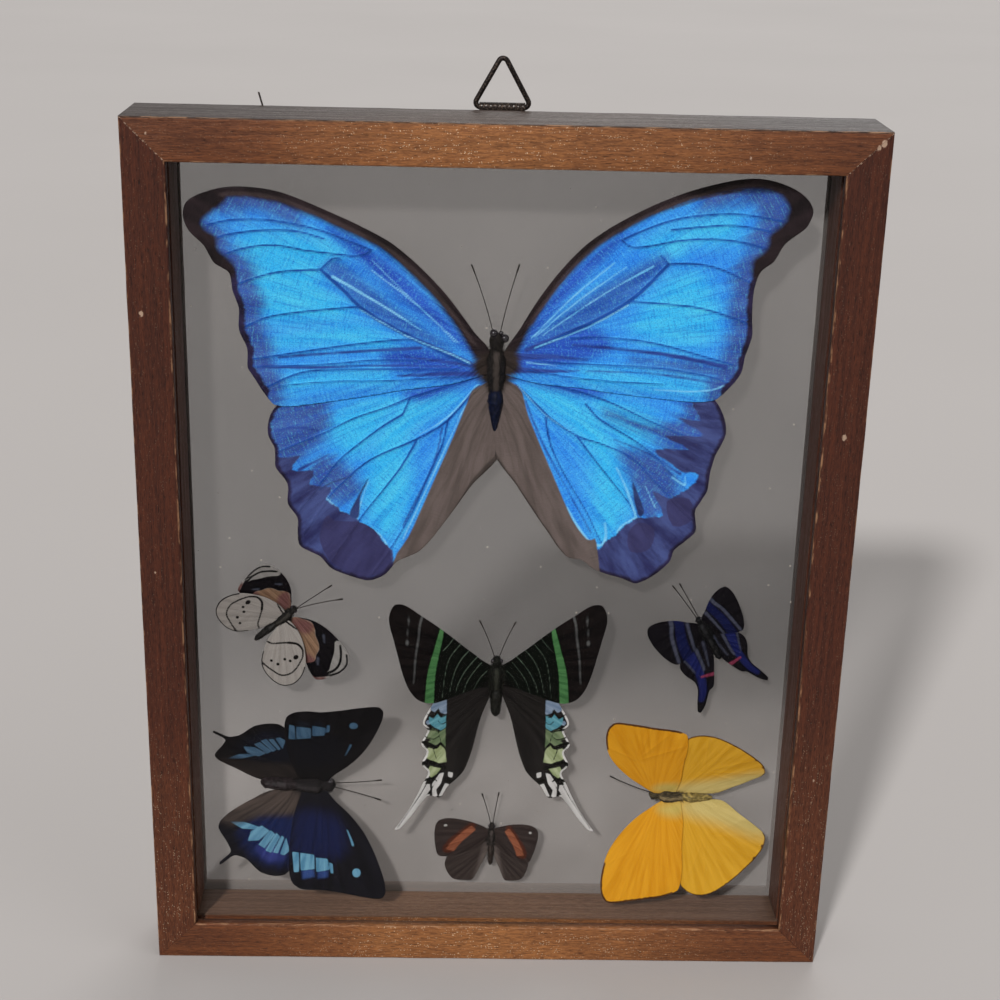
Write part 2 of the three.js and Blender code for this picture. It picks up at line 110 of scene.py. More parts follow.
class Paint:
    """One node material, with short words for the nodes in it."""

    def __init__(self, name):
        self.material = bpy.data.materials.new(name)
        self.material.use_nodes = True
        self.nodes = self.material.node_tree.nodes
        self.links = self.material.node_tree.links
        self.shader = self.nodes["Principled BSDF"]

    def put(self, socket, value):
        """Gives a socket a plain value or another node's output."""
        if isinstance(value, bpy.types.NodeSocket):
            self.links.new(value, socket)
        else:
            socket.default_value = value

    def set(self, **values):
        """Values for the shader's own sockets; an underscore stands for a space in a socket's name."""
        for name, value in values.items():
            self.put(self.shader.inputs[name.replace("_", " ")], value)
        return self

    def math(self, how, first, second=0.0):
        node = self.nodes.new("ShaderNodeMath")
        node.operation = how
        self.put(node.inputs[0], first)
        self.put(node.inputs[1], second)
        return node.outputs[0]

    def blend(self, share, first, second):
        node = self.nodes.new("ShaderNodeMix")
        node.data_type = "RGBA"
        self.put(node.inputs[0], share)
        self.put(node.inputs[6], first)
        self.put(node.inputs[7], second)
        return node.outputs[2]

    def ease(self, value, low, high, start=0.0, end=1.0):
        """start below low, end above high, and a smooth way between."""
        node = self.nodes.new("ShaderNodeMapRange")
        node.interpolation_type = "SMOOTHSTEP"
        for socket, number in zip(node.inputs, (value, low, high, start, end)):
            self.put(socket, number)
        return node.outputs[0]

    def place(self, stretch=(1, 1, 1), shift=(0, 0, 0)):
        """The piece's own coordinates in millimetres, stretched and shifted."""
        where = self.nodes.new("ShaderNodeTexCoord").outputs["Object"]
        return self.mapped(where, [s / MM for s in stretch], shift)

    def mapped(self, where, stretch, shift=(0, 0, 0)):
        node = self.nodes.new("ShaderNodeMapping")
        self.put(node.inputs["Vector"], where)
        node.inputs["Scale"].default_value = stretch
        node.inputs["Location"].default_value = shift
        return node.outputs[0]

    def noise(self, where, scale, detail=3.0, rough=0.5):
        node = self.nodes.new("ShaderNodeTexNoise")
        self.put(node.inputs["Vector"], where)
        node.inputs["Scale"].default_value = scale
        node.inputs["Detail"].default_value = detail
        node.inputs["Roughness"].default_value = rough
        return node.outputs[0]

    def cells(self, where, scale):
        node = self.nodes.new("ShaderNodeTexVoronoi")
        self.put(node.inputs["Vector"], where)
        node.inputs["Scale"].default_value = scale
        return node.outputs["Distance"]

    def attribute(self, name, part="Fac"):
        node = self.nodes.new("ShaderNodeAttribute")
        node.attribute_name = name
        return node.outputs[part]

    def axes(self, where):
        node = self.nodes.new("ShaderNodeSeparateXYZ")
        self.put(node.inputs[0], where)
        return node.outputs[0], node.outputs[1], node.outputs[2]

    def bump(self, height, distance):
        """Relief of that depth in millimetres."""
        node = self.nodes.new("ShaderNodeBump")
        node.inputs["Distance"].default_value = distance * MM
        self.put(node.inputs["Height"], height)
        self.links.new(node.outputs[0], self.shader.inputs["Normal"])
        return self


# ---------------------------------------------------------------- words for pieces


def piece(name, bm, paints, body, smooth=True):
    """A finished mesh object that rides on a body of the frame."""
    mesh = bpy.data.meshes.new(name)
    bm.to_mesh(mesh)
    bm.free()
    for polygon in mesh.polygons:
        polygon.use_smooth = smooth
    thing = bpy.data.objects.new(name, mesh)
    bpy.context.scene.collection.objects.link(thing)
    for paint in paints:
        mesh.materials.append(paint.material)
    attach(thing, body)
    return thing


def dress(node, paint):
    """Gives a carried-over node its material."""
    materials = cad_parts[node].data.materials
    materials.clear()
    materials.append(paint.material)


def tube(bm, points, radii, sides=8, closed=False):
    """A round bar along a line of points, with a radius at each of them."""
    rings = []
    last = len(points) - 1
    for i, (point, radius) in enumerate(zip(points, radii)):
        before = points[i - 1] if i or closed else points[0]
        after = points[(i + 1) % len(points)] if i < last or closed else points[last]
        turn = (after - before).to_track_quat("Z", "Y").to_matrix().to_4x4()
        made = bmesh.ops.create_circle(bm, segments=sides, radius=radius,
                                       matrix=Matrix.Translation(point) @ turn)["verts"]
        rings.append(made)
    pairs = list(zip(rings, rings[1:])) + ([(rings[-1], rings[0])] if closed else [])
    for near, far in pairs:
        edges = [e for ring in (near, far) for v in ring for e in v.link_edges if e.other_vert(v) in ring]
        bmesh.ops.bridge_loops(bm, edges=list(dict.fromkeys(edges)))
    if not closed:
        bm.faces.new(rings[0])
        bm.faces.new(rings[-1])


def curve_through(points, steps, closed=True):
    """A smooth line through points, with that many steps from one to the next."""
    points = [Vector(p) for p in points]
    count = len(points)
    line = []
    for i in range(count if closed else count - 1):
        picked = [points[(i + k) % count] if closed else points[min(max(i + k, 0), count - 1)]
                  for k in (-1, 0, 1, 2)]
        a, b, c, d = picked
        for step in range(steps):
            s = step / steps
            line.append(0.5 * (2 * b + (c - a) * s + (2 * a - 5 * b + 4 * c - d) * s ** 2
                               + (3 * b - a - 3 * c + d) * s ** 3))
    return line if closed else line + [points[-1]]


# ---------------------------------------------------------------- wood, glass and metal


def stained_wood(name, along, tones, gleam, seed):
    """Varnished wood whose grain runs along one axis, with a golden gleam painted over part of its length as
    a highlight.

    gleam is (middle, half length, strength) along that axis.
    """
    dark, light, gold = tones
    paint = Paint(name)
    fine = [1.0, 1.0, 1.0]
    fine[along] = 0.11
    long_drawn = [1.0, 1.0, 1.0]
    long_drawn[along] = 0.03
    where = paint.place(fine, (seed, seed * 1.7, seed * 0.6))
    fibre = paint.ease(paint.noise(where, 3.4, 5, 0.74), 0.3, 0.72)
    streak = paint.ease(paint.noise(paint.place(long_drawn, (seed, 4, seed)), 0.9, 4, 0.6), 0.35, 0.68)
    slow = paint.ease(paint.noise(paint.place((0.03, 0.03, 0.03), (seed, 0, seed)), 1.0, 2), 0.4, 0.62)
    mottle = paint.math("ADD", paint.math("MULTIPLY", fibre, 0.62), paint.math("MULTIPLY", streak, 0.38))
    tone = paint.blend(mottle, linear(*dark), linear(*light))
    # A painted highlight: the colour turns golden along part of the rail's length.
    spot = paint.axes(paint.place())[along]
    reach = paint.math("ABSOLUTE", paint.math("SUBTRACT", spot, gleam[0]))
    lit = paint.math("MULTIPLY", paint.ease(reach, gleam[1] * 0.2, gleam[1], 1, 0), gleam[2])
    lit = paint.math("MULTIPLY", lit, paint.ease(slow, 0, 1, 0.7, 1))
    golden = paint.math("MULTIPLY", lit, paint.ease(fibre, 0, 1, 0.35, 1))
    tone = paint.blend(golden, tone, linear(*gold))
    # Bright specks painted as glints, thickest where the highlight is painted.
    glint_specks = paint.ease(paint.cells(paint.place((1, 1, 1), (0, seed, 0)), 1.9), 0.16, 0.3, 1, 0)
    glint_specks = paint.math("MULTIPLY", glint_specks, paint.ease(paint.noise(where, 1.7, 2), 0.5, 0.6))
    sparks = paint.math("MULTIPLY", glint_specks, paint.math("ADD", lit, 0.06))
    tone = paint.blend(sparks, tone, linear(246, 222, 188))
    pores = paint.ease(paint.noise(where, 4.2, 2, 0.6), 0.6, 0.7)
    tone = paint.blend(paint.math("MULTIPLY", pores, 0.6), tone, linear(*[c * 0.5 for c in dark]))
    inward, y, z = rail_place(paint)
    inner = paint.math("MULTIPLY", paint.ease(inward, 0.4, 0.7, 1, 0), paint.ease(y, -9.6, -9.2))
    inner = paint.math("MULTIPLY", inner, paint.ease(z, RAIL + 0.3, RAIL + 0.8, 1, 0.1))
    # Painted shade: the top face is painted darker.
    above = paint.ease(z, HEIGHT - 0.5, HEIGHT - 0.1)
    painted_shading = paint.blend(mottle, linear(26, 21, 18), linear(44, 37, 33))
    tone = paint.blend(paint.math("MULTIPLY", above, 0.85), tone, painted_shading)
    scuffed = paint.blend(mottle, linear(84, 66, 54), linear(112, 90, 75))
    tone = paint.blend(paint.math("MULTIPLY", inner, 0.72), tone, scuffed)
    tone = paint.blend(worn_arris(paint, inward, y), tone, linear(160, 120, 88))
    tone = paint.blend(chips(paint), tone, linear(176, 148, 126))
    paint.set(Base_Color=tone, Roughness=paint.ease(mottle, 0.2, 0.8, 0.6, 0.42), Specular_IOR_Level=0.22)
    paint.bump(paint.math("ADD", mottle, paint.math("MULTIPLY", pores, -0.8)), 0.07)
    return paint


def chips(paint):
    """Bare nicks on the front of the rails, and pale broken lines along the two upper mitres."""
    x, y, z = paint.axes(paint.place())
    broken = paint.noise(paint.place(), 1.6, 3, 0.7)
    found = 0.0
    for nick_x, nick_z, size in NICKS:
        across = paint.math("POWER", paint.math("SUBTRACT", x, nick_x), 2)
        up = paint.math("POWER", paint.math("MULTIPLY", paint.math("SUBTRACT", z, nick_z), 0.7), 2)
        far = paint.math("ADD", paint.math("SQRT", paint.math("ADD", across, up)), broken)
        found = paint.math("MAXIMUM", found, paint.ease(far, size + 0.3, size + 0.6, 0.8, 0))
    aside = paint.math("SUBTRACT", paint.math("ABSOLUTE", x), WIDTH / 2)
    below = paint.math("SUBTRACT", z, HEIGHT)
    off_line = paint.math("ABSOLUTE", paint.math("SUBTRACT", aside, below))
    mitre = paint.math("MULTIPLY", paint.ease(off_line, 0.1, 0.32, 0.8, 0), paint.ease(broken, 0.5, 0.58))
    front = paint.ease(y, -DEPTH / 2 + 0.2, -DEPTH / 2 + 0.6, 1, 0)
    return paint.math("MULTIPLY", paint.math("MAXIMUM", found, mitre), front)


def rail_place(paint):
    """How far out from the rails' inner edge a point lies, and its depth and height."""
    x, y, z = paint.axes(paint.place())
    across = paint.math("SUBTRACT", paint.math("ABSOLUTE", x), WIDTH / 2 - RAIL)
    middle = paint.math("SUBTRACT", z, HEIGHT / 2)
    up = paint.math("SUBTRACT", paint.math("ABSOLUTE", middle), HEIGHT / 2 - RAIL)
    return paint.math("MAXIMUM", across, up), y, z


def worn_arris(paint, inward, y):
    """1 where the varnish is worn off, along the front edges of the rails."""
    near_inner = paint.ease(inward, 0.25, 0.6, 1, 0)
    near_outer = paint.ease(inward, RAIL - 0.45, RAIL - 0.15)
    front = paint.ease(y, -DEPTH / 2 + 0.3, -DEPTH / 2 + 0.9, 1, 0)
    patchy = paint.ease(paint.noise(paint.place((0.12, 1, 0.12)), 1.6, 4, 0.6), 0.47, 0.62)
    edges = paint.math("MULTIPLY", paint.math("MAXIMUM", near_inner, near_outer), front)
    return paint.math("MULTIPLY", edges, paint.math("MULTIPLY", patchy, 0.75))


def pane_glass(name, haze, tint, painted_light_tint):
    """A hazy pane with specks of dust: its grey film holds back a share of the light and is partly painted
    shade, and it is painted palest near the top and foot as painted light.
    """
    paint = Paint(name)
    where = paint.place()
    specks = paint.ease(paint.cells(where, 0.16), 0.03, 0.055, 1, 0)
    cloud = paint.ease(paint.noise(paint.place((0.03, 0.03, 0.02)), 1.0, 3), 0.35, 0.65, -0.2, 0.2)
    z = paint.axes(where)[2]
    # Painted light: the film is painted paler towards the top, and palest at the foot.
    away = paint.math("ABSOLUTE", paint.math("SUBTRACT", z, HEIGHT * 0.5))
    painted_shading = paint.math("ADD", paint.ease(away, 20, HEIGHT / 2 - RAIL), cloud)
    # The film's grey is partly haze and partly painted shade.
    film = paint.blend(painted_shading, linear(*tint), linear(*painted_light_tint))
    painted_light_foot = linear(*[channel * 1.45 for channel in painted_light_tint])
    film = paint.blend(paint.ease(z, 48, 94, 1, 0), film, painted_light_foot)
    dark_specks = paint.ease(paint.cells(paint.place((1, 1, 1), (40, 0, 9)), 0.11), 0.03, 0.05, 1, 0)
    film = paint.blend(specks, film, linear(200, 190, 175))
    film = paint.blend(dark_specks, film, linear(30, 26, 24))
    paint.set(Base_Color=film, Alpha=haze, Roughness=0.08, IOR=1.5, Specular_IOR_Level=0.06)
    return paint


def dark_steel(name, base, bright, rough):
    """Dark steel, brighter and smoother where it is worn."""
    paint = Paint(name)
    wear = paint.ease(paint.noise(paint.place(), 2.2, 4), 0.45, 0.7)
    tone = paint.blend(wear, linear(*base), linear(*bright))
    paint.set(Base_Color=tone, Metallic=0.85, Roughness=paint.ease(wear, 0, 1, rough + 0.12, rough))
    paint.bump(paint.noise(paint.place(), 6.0, 3), 0.03)
    return paint


def rail(node, along, paint):
    """A wooden rail: its mitres closed up, its long edges and faces a little uneven."""
    bm = bmesh.new()
    bm.from_mesh(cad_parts[node].data)
    bm.transform(Matrix.Scale(1 / MM, 4) @ Matrix.Translation((0, 0, -HEIGHT / 2 * MM)))
    bmesh.ops.remove_doubles(bm, verts=bm.verts[:], dist=1e-3)
    bmesh.ops.dissolve_limit(bm, angle_limit=0.02, verts=bm.verts[:], edges=bm.edges[:])
    half = (WIDTH if along == 0 else HEIGHT) / 2
    across = 2 - along
    outside = (HEIGHT if along == 0 else WIDTH) / 2
    for vert in bm.verts:
        short = (half - abs(vert.co[along])) - (outside - abs(vert.co[across]))
        if short < 0.3:
            vert.co[along] += math.copysign(MITRE_FILL, vert.co[along])
    way = Vector((along == 0, 0, along == 2))
    for step in range(int(-half / RAIL_STEP) + 1, int(half / RAIL_STEP)):
        bmesh.ops.bisect_plane(bm, geom=bm.verts[:] + bm.edges[:] + bm.faces[:], dist=1e-4,
                               plane_co=way * step * RAIL_STEP, plane_no=way)
    for vert in bm.verts:
        uneven = noise.noise_vector(vert.co * 0.09) * 0.07 + noise.noise_vector(vert.co * 0.5) * 0.03
        uneven[along] = 0
        vert.co += uneven
    bm.transform(Matrix.Translation((0, 0, HEIGHT / 2 * MM)) @ Matrix.Scale(MM, 4))
    made = piece(f"{node}_wood", bm, [paint], "frame")
    made.data.set_sharp_from_angle(angle=math.radians(38))
    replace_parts(made, node)


def dress_frame():
    """Lighter wood on the top and bottom rails, redder wood on the sides, two panes and the small steel."""
    golden = ((62, 31, 18), (116, 67, 38), (184, 124, 72))
    red = ((42, 17, 10), (84, 42, 26), (136, 84, 52))
    rail("rail_top", 0, stained_wood("wood_top", 0, golden, (4, 84, 0.52), seed=3))
    rail("rail_bottom", 0, stained_wood("wood_bottom", 0, golden, (2, 84, 0.62), seed=11))
    rail("rail_left", 2, stained_wood("wood_left", 2, red, (20, 60, 0.3), seed=23))
    rail("rail_right", 2, stained_wood("wood_right", 2, red, (30, 70, 0.25), seed=37))
    dress("glass_front", pane_glass("glass_front", 0.03, (40, 38, 36), (60, 58, 56)))
    # The back pane's grey film is partly haze and partly painted shade, with a painted-light top and foot.
    dress("glass_back", pane_glass("glass_back", 0.44, (82, 79, 77), (104, 100, 97)))
    dress("hanger_strap", dark_steel("strap_steel", (36, 30, 28), (92, 78, 68), 0.42))
    dress("hanger_nail", dark_steel("nail_steel", (88, 84, 80), (150, 146, 140), 0.35))
    dress("bent_pin", dark_steel("pin_steel", (64, 58, 56), (120, 112, 106), 0.4))


def strap_dimples():
    """The row of little stamped dots along the strap's rolled edge, painted pale as glints."""
    bm = bmesh.new()
    toward = Vector((0, -0.93, 0.37)) * BARREL["outer"]
    for step in range(DIMPLES):
        x = HANGER_X + STRAP_WIDTH * ((step + 0.5) / DIMPLES - 0.5)
        spot = Vector((x, BARREL["y"], BARREL["z"])) + toward
        bmesh.ops.create_uvsphere(bm, u_segments=10, v_segments=6, radius=random.uniform(0.22, 0.32),
                                  matrix=Matrix.Translation(spot))
    bm.transform(Matrix.Scale(MM, 4))
    # The dots are painted far paler than the strap: painted glints.
    paint = dark_steel("dimple_glint_steel", (120, 112, 108), (220, 214, 208), 0.3)
    piece("strap_dimples", bm, [paint], "frame")


def hanger_ring():
    """The wire triangle, drawn round its three bends."""
    rise = math.atan2(RING["height"] - RING["bend"], RING["half_base"])
    corners = [
        (-RING["half_base"], RING["bend"], math.pi / 2 + rise, math.pi - rise),
        (RING["half_base"], RING["bend"], -math.pi / 2, math.pi - rise),
        (0, RING["height"], math.pi / 2 - rise, 2 * rise),
    ]
    line = []
    for x, z, start, sweep in corners:
        for step in range(BEND_STEPS + 1):
            angle = start + sweep * step / BEND_STEPS
            spot = (HANGER_X + x + RING["bend"] * math.cos(angle), BARREL["y"],
                    BARREL["z"] + z + RING["bend"] * math.sin(angle))
            line.append(Vector(spot) * MM)
    bm = bmesh.new()
    tube(bm, line, [WIRE * WIRE_COAT * MM] * len(line), 14, closed=True)
    bmesh.ops.recalc_face_normals(bm, faces=bm.faces[:])
    paint = dark_steel("ring_steel", (30, 26, 26), (86, 74, 66), 0.36)
    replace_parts(piece("ring_wire", bm, [paint], "ring"), "hanger_ring")


# ---------------------------------------------------------------- wings


def along_line(spots, points, widths):
    """How far each spot is outside a stroke; below zero it is inside."""
    far = np.full(len(spots), 1e9)
    halves = np.interp(np.arange(len(points)), (0, len(points) - 1), widths) / 2
    for start, end, near_half, far_half in zip(points, points[1:], halves, halves[1:]):
        start, way = np.array(start[:2]), np.subtract(end[:2], start[:2])
        share = np.clip((spots - start) @ way / max(way @ way, 1e-9), 0, 1)
        gap = np.linalg.norm(spots - start - share[:, None] * way, axis=1)
        far = np.minimum(far, gap - near_half - (far_half - near_half) * share)
    return far


def outside_area(spots, points):
    """How far each spot is outside a closed area; below zero it is inside."""
    gap = along_line(spots, [*points, points[0]], (0, 0))
    inside = np.zeros(len(spots), bool)
    for (x0, y0), (x1, y1) in zip(points, [*points[1:], points[0]]):
        crosses = (y0 > spots[:, 1]) != (y1 > spots[:, 1])
        reach = x0 + (spots[:, 1] - y0) * (x1 - x0) / ((y1 - y0) or 1e-9)
        inside ^= crosses & (spots[:, 0] < reach)
    return np.where(inside, -gap, gap)


def line(points, start_width, end_width=None):
    return lambda spots, edge: along_line(
        spots, curve_points(points), (start_width, end_width or start_width))


def area(points):
    rounded = [tuple(p[:2]) for p in curve_through([(u, v, 0) for u, v in points], 3)]
    return lambda spots, edge: outside_area(spots, rounded)


def patch(points):
    """A closed area with sharp corners."""
    return lambda spots, edge: outside_area(spots, points)


def dot(middle, radius, tall=1.0):
    """A round spot, tall times as long along v as across."""
    return lambda spots, edge: (
        np.hypot(spots[:, 0] - middle[0], (spots[:, 1] - middle[1]) / tall) - radius)


def nowhere(spots, edge):
    """A mark that a wing doesn't have: every spot is far outside it."""
    return np.full(len(spots), 9.0)


def rim(width, start, way, inner=-1.0):
    """A band from inner to width inside the wing's own edge, on the side of start that way points to."""
    way = np.array(way) / math.hypot(*way)
    return lambda spots, edge: np.maximum.reduce(
        [edge - width, inner - edge, -(spots - np.array(start)) @ way])


def curve_points(points):
    """The points of an open stroke, rounded where it has more than two."""
    if len(points) < 3:
        return points
    return [tuple(p[:2]) for p in curve_through([(u, v, 0) for u, v in points], 3, closed=False)]


def blade_loop(node, to_wing):
    """The outline of a wing's own solid, in the wing's millimetres, and the height of its face."""
    bm = bmesh.new()
    bm.from_mesh(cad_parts[node].data)
    bm.transform(to_wing)
    bmesh.ops.remove_doubles(bm, verts=bm.verts[:], dist=0.002)
    bmesh.ops.dissolve_limit(bm, angle_limit=0.02, verts=bm.verts[:], edges=bm.edges[:])
    faces = sorted(bm.faces, key=lambda f: -f.calc_area())[:2]
    face = max(faces, key=lambda f: f.verts[0].co.z)
    loop = [(v.co.x, v.co.y, 0) for v in face.verts]
    height = face.verts[0].co.z
    bm.free()
    return loop, height


def sheet_mesh(loop, cell):
    """The flat sheet inside an outline, cut into small squares."""
    outline = curve_through(loop, 4)
    bm = bmesh.new()
    bm.faces.new([bm.verts.new(p) for p in outline])
    for axis in (0, 1):
        low = min(p[axis] for p in outline)
        high = max(p[axis] for p in outline)
        across = Vector((1 - axis, axis, 0))
        for step in range(1, int((high - low) / cell) + 1):
            everything = bm.verts[:] + bm.edges[:] + bm.faces[:]
            bmesh.ops.bisect_plane(bm, geom=everything, dist=1e-4, plane_no=across,
                                   plane_co=across * (low + (step - 0.5) * cell))
    bmesh.ops.triangulate(bm, faces=bm.faces[:])
    return bm, outline


def wing_matrix(insect, side):
    """From a wing's own (u, v, t) in millimetres to the frame's axes in metres."""
    own = Matrix(((side, 0, 0, 0), (0, 0, -1, 0), (0, 1, 0, 0), (0, 0, 0, 1)))
    back = BACK_PANE_FACE - GAP - BODY_DEPTH * insect["body"]["thorax"]
    spot = Matrix.Translation(Vector((insect["x"], back, insect["z"])) * MM)
    heading = Matrix.Rotation(math.radians(insect["heading"]), 4, "Y")
    raised = Matrix.Rotation(math.radians(-side * insect["raise"]), 4, "Z")
    return spot @ heading @ raised @ Matrix.Scale(MM, 4) @ own


def as_drawn(spots, root, turn, reach, slip):
    """Takes points of a set wing back to where its pattern is drawn."""
    angle = math.radians(-turn)
    way = spots * (1 / reach, 1) - (0, slip) - root
    turned = np.array([[math.cos(angle), math.sin(angle)], [-math.sin(angle), math.cos(angle)]])
    return way @ turned + root


def wing(insect, kind, side_name, pattern, paints, cell):
    """One wing as a thin sheet, with its pattern's distances kept at every point."""
    side = -1 if side_name == "left" else 1
    node = f"{insect['name']}_{kind}wing_{side_name}"
    to_frame = wing_matrix(insect, side)
    loop, height = blade_loop(node, to_frame.inverted())
    bm, outline = sheet_mesh(loop, cell)
    spots = np.array([v.co[:2] for v in bm.verts])
    edge = along_line(spots, outline + outline[:1], (0, 0))
    setting = insect[side_name]
    drawn = as_drawn(spots, np.array(insect["roots"][kind]), *setting[kind], setting["slip"])
    veins = np.minimum.reduce([mark(drawn, edge) for mark in pattern["veins"]])
    relief(bm, drawn, veins, height, side, settled(drawn, edge) if kind == "fore" else np.zeros(len(drawn)))
    tuck(bm, insect["body"]["thorax"])
    bm.transform(to_frame)
    bm.normal_update()
    if next(iter(bm.faces)).normal.y > 0:
        bmesh.ops.reverse_faces(bm, faces=bm.faces[:])
    thing = piece(f"{node}_sheet", bm, paints, "frame")
    keep(thing, "blade", drawn)
    keep(thing, "ray", rays(drawn, insect["roots"][kind]))
    keep(thing, "edge", edge)
    keep(thing, "vein", veins)
    for name, marks in pattern["layers"].items():
        keep(thing, name, np.minimum.reduce([mark(drawn, edge) for mark in marks]))
    thicken = thing.modifiers.new("thickness", "SOLIDIFY")
    thicken.thickness = SHEET * MM
    thicken.offset = -1
    thicken.material_offset = 1
    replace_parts(thing, node)


def rays(drawn, root):
    """The angle of each point seen from the root, in thirtieths of a radian, and its distance."""
    way = drawn - np.array(root) + (3, 0)
    return np.column_stack([30 * np.arctan2(way[:, 1], way[:, 0]), np.hypot(*way.T)])


def tuck(bm, thorax):
    """Draws a sheet's inner edge in under the body."""
    for vert in bm.verts:
        share = max(0, 1 - vert.co.x / (2.4 * thorax))
        vert.co.x -= 1.1 * thorax * share ** 2 * (3 - 2 * share)


def settled(drawn, edge):
    """How far each point of a forewing lies down, close to its rear edge."""
    rear = np.clip(-(drawn[:, 1] + 2) / 4, 0, 1)
    return SETTLED * rear * np.exp(-(edge / SETTLED_REACH) ** 2)


def relief(bm, drawn, veins, height, side, lower):
    """Raises the sheet to its solid's face, with soft waves and a pleat between veins."""
    for vert, (u, v), vein, low in zip(bm.verts, drawn, veins, lower):
        wave = noise.noise(Vector((u * 0.07, v * 0.07, side * 5)))
        pleat = math.exp(-(vein / 0.7) ** 2)
        vert.co.z = height - SUNK + WAVE * wave + PLEAT * pleat - low


def keep(thing, name, values):
    """Stores a number, or a (u, v) pair, at every point of a piece."""
    values = np.asarray(values, np.float32)
    if values.ndim == 2:
        flat = np.column_stack([values, np.zeros(len(values), np.float32)])
        made = thing.data.attributes.new(name, "FLOAT_VECTOR", "POINT")
        made.data.foreach_set("vector", np.ascontiguousarray(flat).ravel())
    else:
        made = thing.data.attributes.new(name, "FLOAT", "POINT")
        made.data.foreach_set("value", values)


def scaled_wing(name, ground, marks, washes=(), dull=None, ripple=None):
    """A wing's surface: rows of tiny scales, soft washes of colour, fine folds, then its crisp marks.

    A mark is (attribute, first colour, second colour, softness of its edge, raggedness), in millimetres.
    ripple is (deep colour, bright colour) painted into the fine folds that run across the rays and into
    single scales: painted shade and painted highlight.
    dull is a colour that half covers the whole wing.
    """
    paint = Paint(name)
    ray = paint.attribute("ray", "Vector")
    blade = paint.attribute("blade", "Vector")
    cloud = paint.ease(paint.noise(paint.mapped(ray, (1, 0.12, 1)), 0.5, 4, 0.6), 0.3, 0.7)
    jagged = paint.math("SUBTRACT", paint.noise(paint.mapped(ray, (1.2, 0.1, 1)), 0.9, 3, 0.7), 0.5)
    grit = paint.noise(blade, 5.0, 2, 0.7)
    scales = paint.noise(blade, 2.3, 3, 0.75)
    fold = paint.noise(paint.mapped(ray, (0.55, 1.7, 1)), 1.0, 3, 0.65)

    def lay(tone, layers):
        for mark, first, second, soft, ragged in layers:
            reach = paint.math("ADD", paint.attribute(mark), paint.math("MULTIPLY", jagged, ragged))
            reach = paint.math("ADD", reach, paint.math("MULTIPLY", paint.math("SUBTRACT", grit, 0.5), 0.3))
            colour = paint.blend(cloud, linear(*first), linear(*second))
            tone = paint.blend(paint.ease(reach, -soft, soft, 1, 0), tone, colour)
        return tone

    tone = lay(paint.blend(cloud, linear(*ground[0]), linear(*ground[1])), washes)
    # Painted shade in the fine folds, and painted highlight on their ridges and on single scales.
    if ripple:
        deep, bright = (linear(*colour) for colour in ripple)
        rays_fine = paint.noise(paint.mapped(ray, (2.4, 0.05, 1)), 1.0, 3, 0.6)
        tone = paint.blend(paint.ease(rays_fine, 0.5, 0.3, 0, 0.36), tone, deep)
        tone = paint.blend(paint.ease(fold, 0.5, 0.32, 0, 0.34), tone, deep)
        tone = paint.blend(paint.ease(fold, 0.52, 0.7, 0, 0.26), tone, bright)
        tone = paint.blend(paint.ease(scales, 0.5, 0.34, 0, 0.5), tone, deep)
        tone = paint.blend(paint.ease(scales, 0.54, 0.7, 0, 0.42), tone, bright)
    tone = lay(tone, marks)
    tone = paint.blend(paint.ease(grit, 0.35, 0.75, 0, 0.3), tone, linear(14, 13, 16))
    if dull:
        tone = paint.blend(0.55, tone, linear(*dull))
    ridge = paint.ease(paint.attribute("vein"), 0.05, 0.35, 1, 0)
    height = paint.math("ADD", paint.math("MULTIPLY", ridge, 0.8 if ripple else 0.2),
                        paint.math("MULTIPLY", grit, 0.35))
    height = paint.math("ADD", height, paint.math("MULTIPLY", fold, 1.4 if ripple else 0.3))
    paint.set(Base_Color=tone, Roughness=0.5, Specular_IOR_Level=0.08 if ripple else 0.025)
    paint.bump(height, 0.12)
    return paint


# ---------------------------------------------------------------- bodies


def body_radius(body, v):
    """The half width of a body at one place along it."""
    head, thorax, waist, abdomen, length = (
        body[k] for k in ("head", "thorax", "waist", "abdomen", "length"))
    stops = [(0, 0.25 * head), (0.5 * head, 0.85 * head), (head, head), (1.7 * head, 0.9 * head),
             (2.1 * head, 0.75 * head), (waist * 0.45, thorax), (waist * 0.75, thorax * 0.9),
             (waist, abdomen * 0.7), (waist + (length - waist) * 0.25, abdomen),
             (length * 0.92, abdomen * body.get("rear", 0.72)),
             (length * 0.98, abdomen * body.get("rear", 0.72) * 0.55), (length, 0.05)]
    return float(np.interp(v, [s[0] for s in stops], [s[1] for s in stops]))


def torso(insect, paint):
    """Head, thorax and ringed abdomen, turned about the body's length."""
    body = insect["body"]
    length = body["length"]
    count = 64
    bm = bmesh.new()
    line_verts = []
    for i in range(count + 1):
        v = length * i / count
        radius = body_radius(body, v)
        if v > body["waist"]:
            radius *= 1 - 0.07 * abs(math.sin((v - body["waist"]) * math.pi / (length - body["waist"]) * 7))
        line_verts.append(bm.verts.new((radius if 0 < i < count else 0, -v, 0)))
    edges = [bm.edges.new(pair) for pair in zip(line_verts, line_verts[1:])]
    bmesh.ops.spin(bm, geom=line_verts + edges, cent=(0, 0, 0), axis=(0, 1, 0),
                   angle=2 * math.pi, steps=28, use_merge=True)
    bmesh.ops.remove_doubles(bm, verts=bm.verts[:], dist=1e-4)
    for vert in bm.verts:
        bumpy = 1 + 0.08 * noise.noise(vert.co * 1.3)
        vert.co = Vector((vert.co.x * bumpy, vert.co.y, vert.co.z * bumpy * TORSO_DEPTH))
    bmesh.ops.recalc_face_normals(bm, faces=bm.faces[:])
    along = np.array([(v.co.x, v.co.y) for v in bm.verts])
    bm.transform(body_matrix(insect))
    made = piece(f"{insect['name']}_torso", bm, [paint], "frame")
    keep(made, "blade", along)
    return made


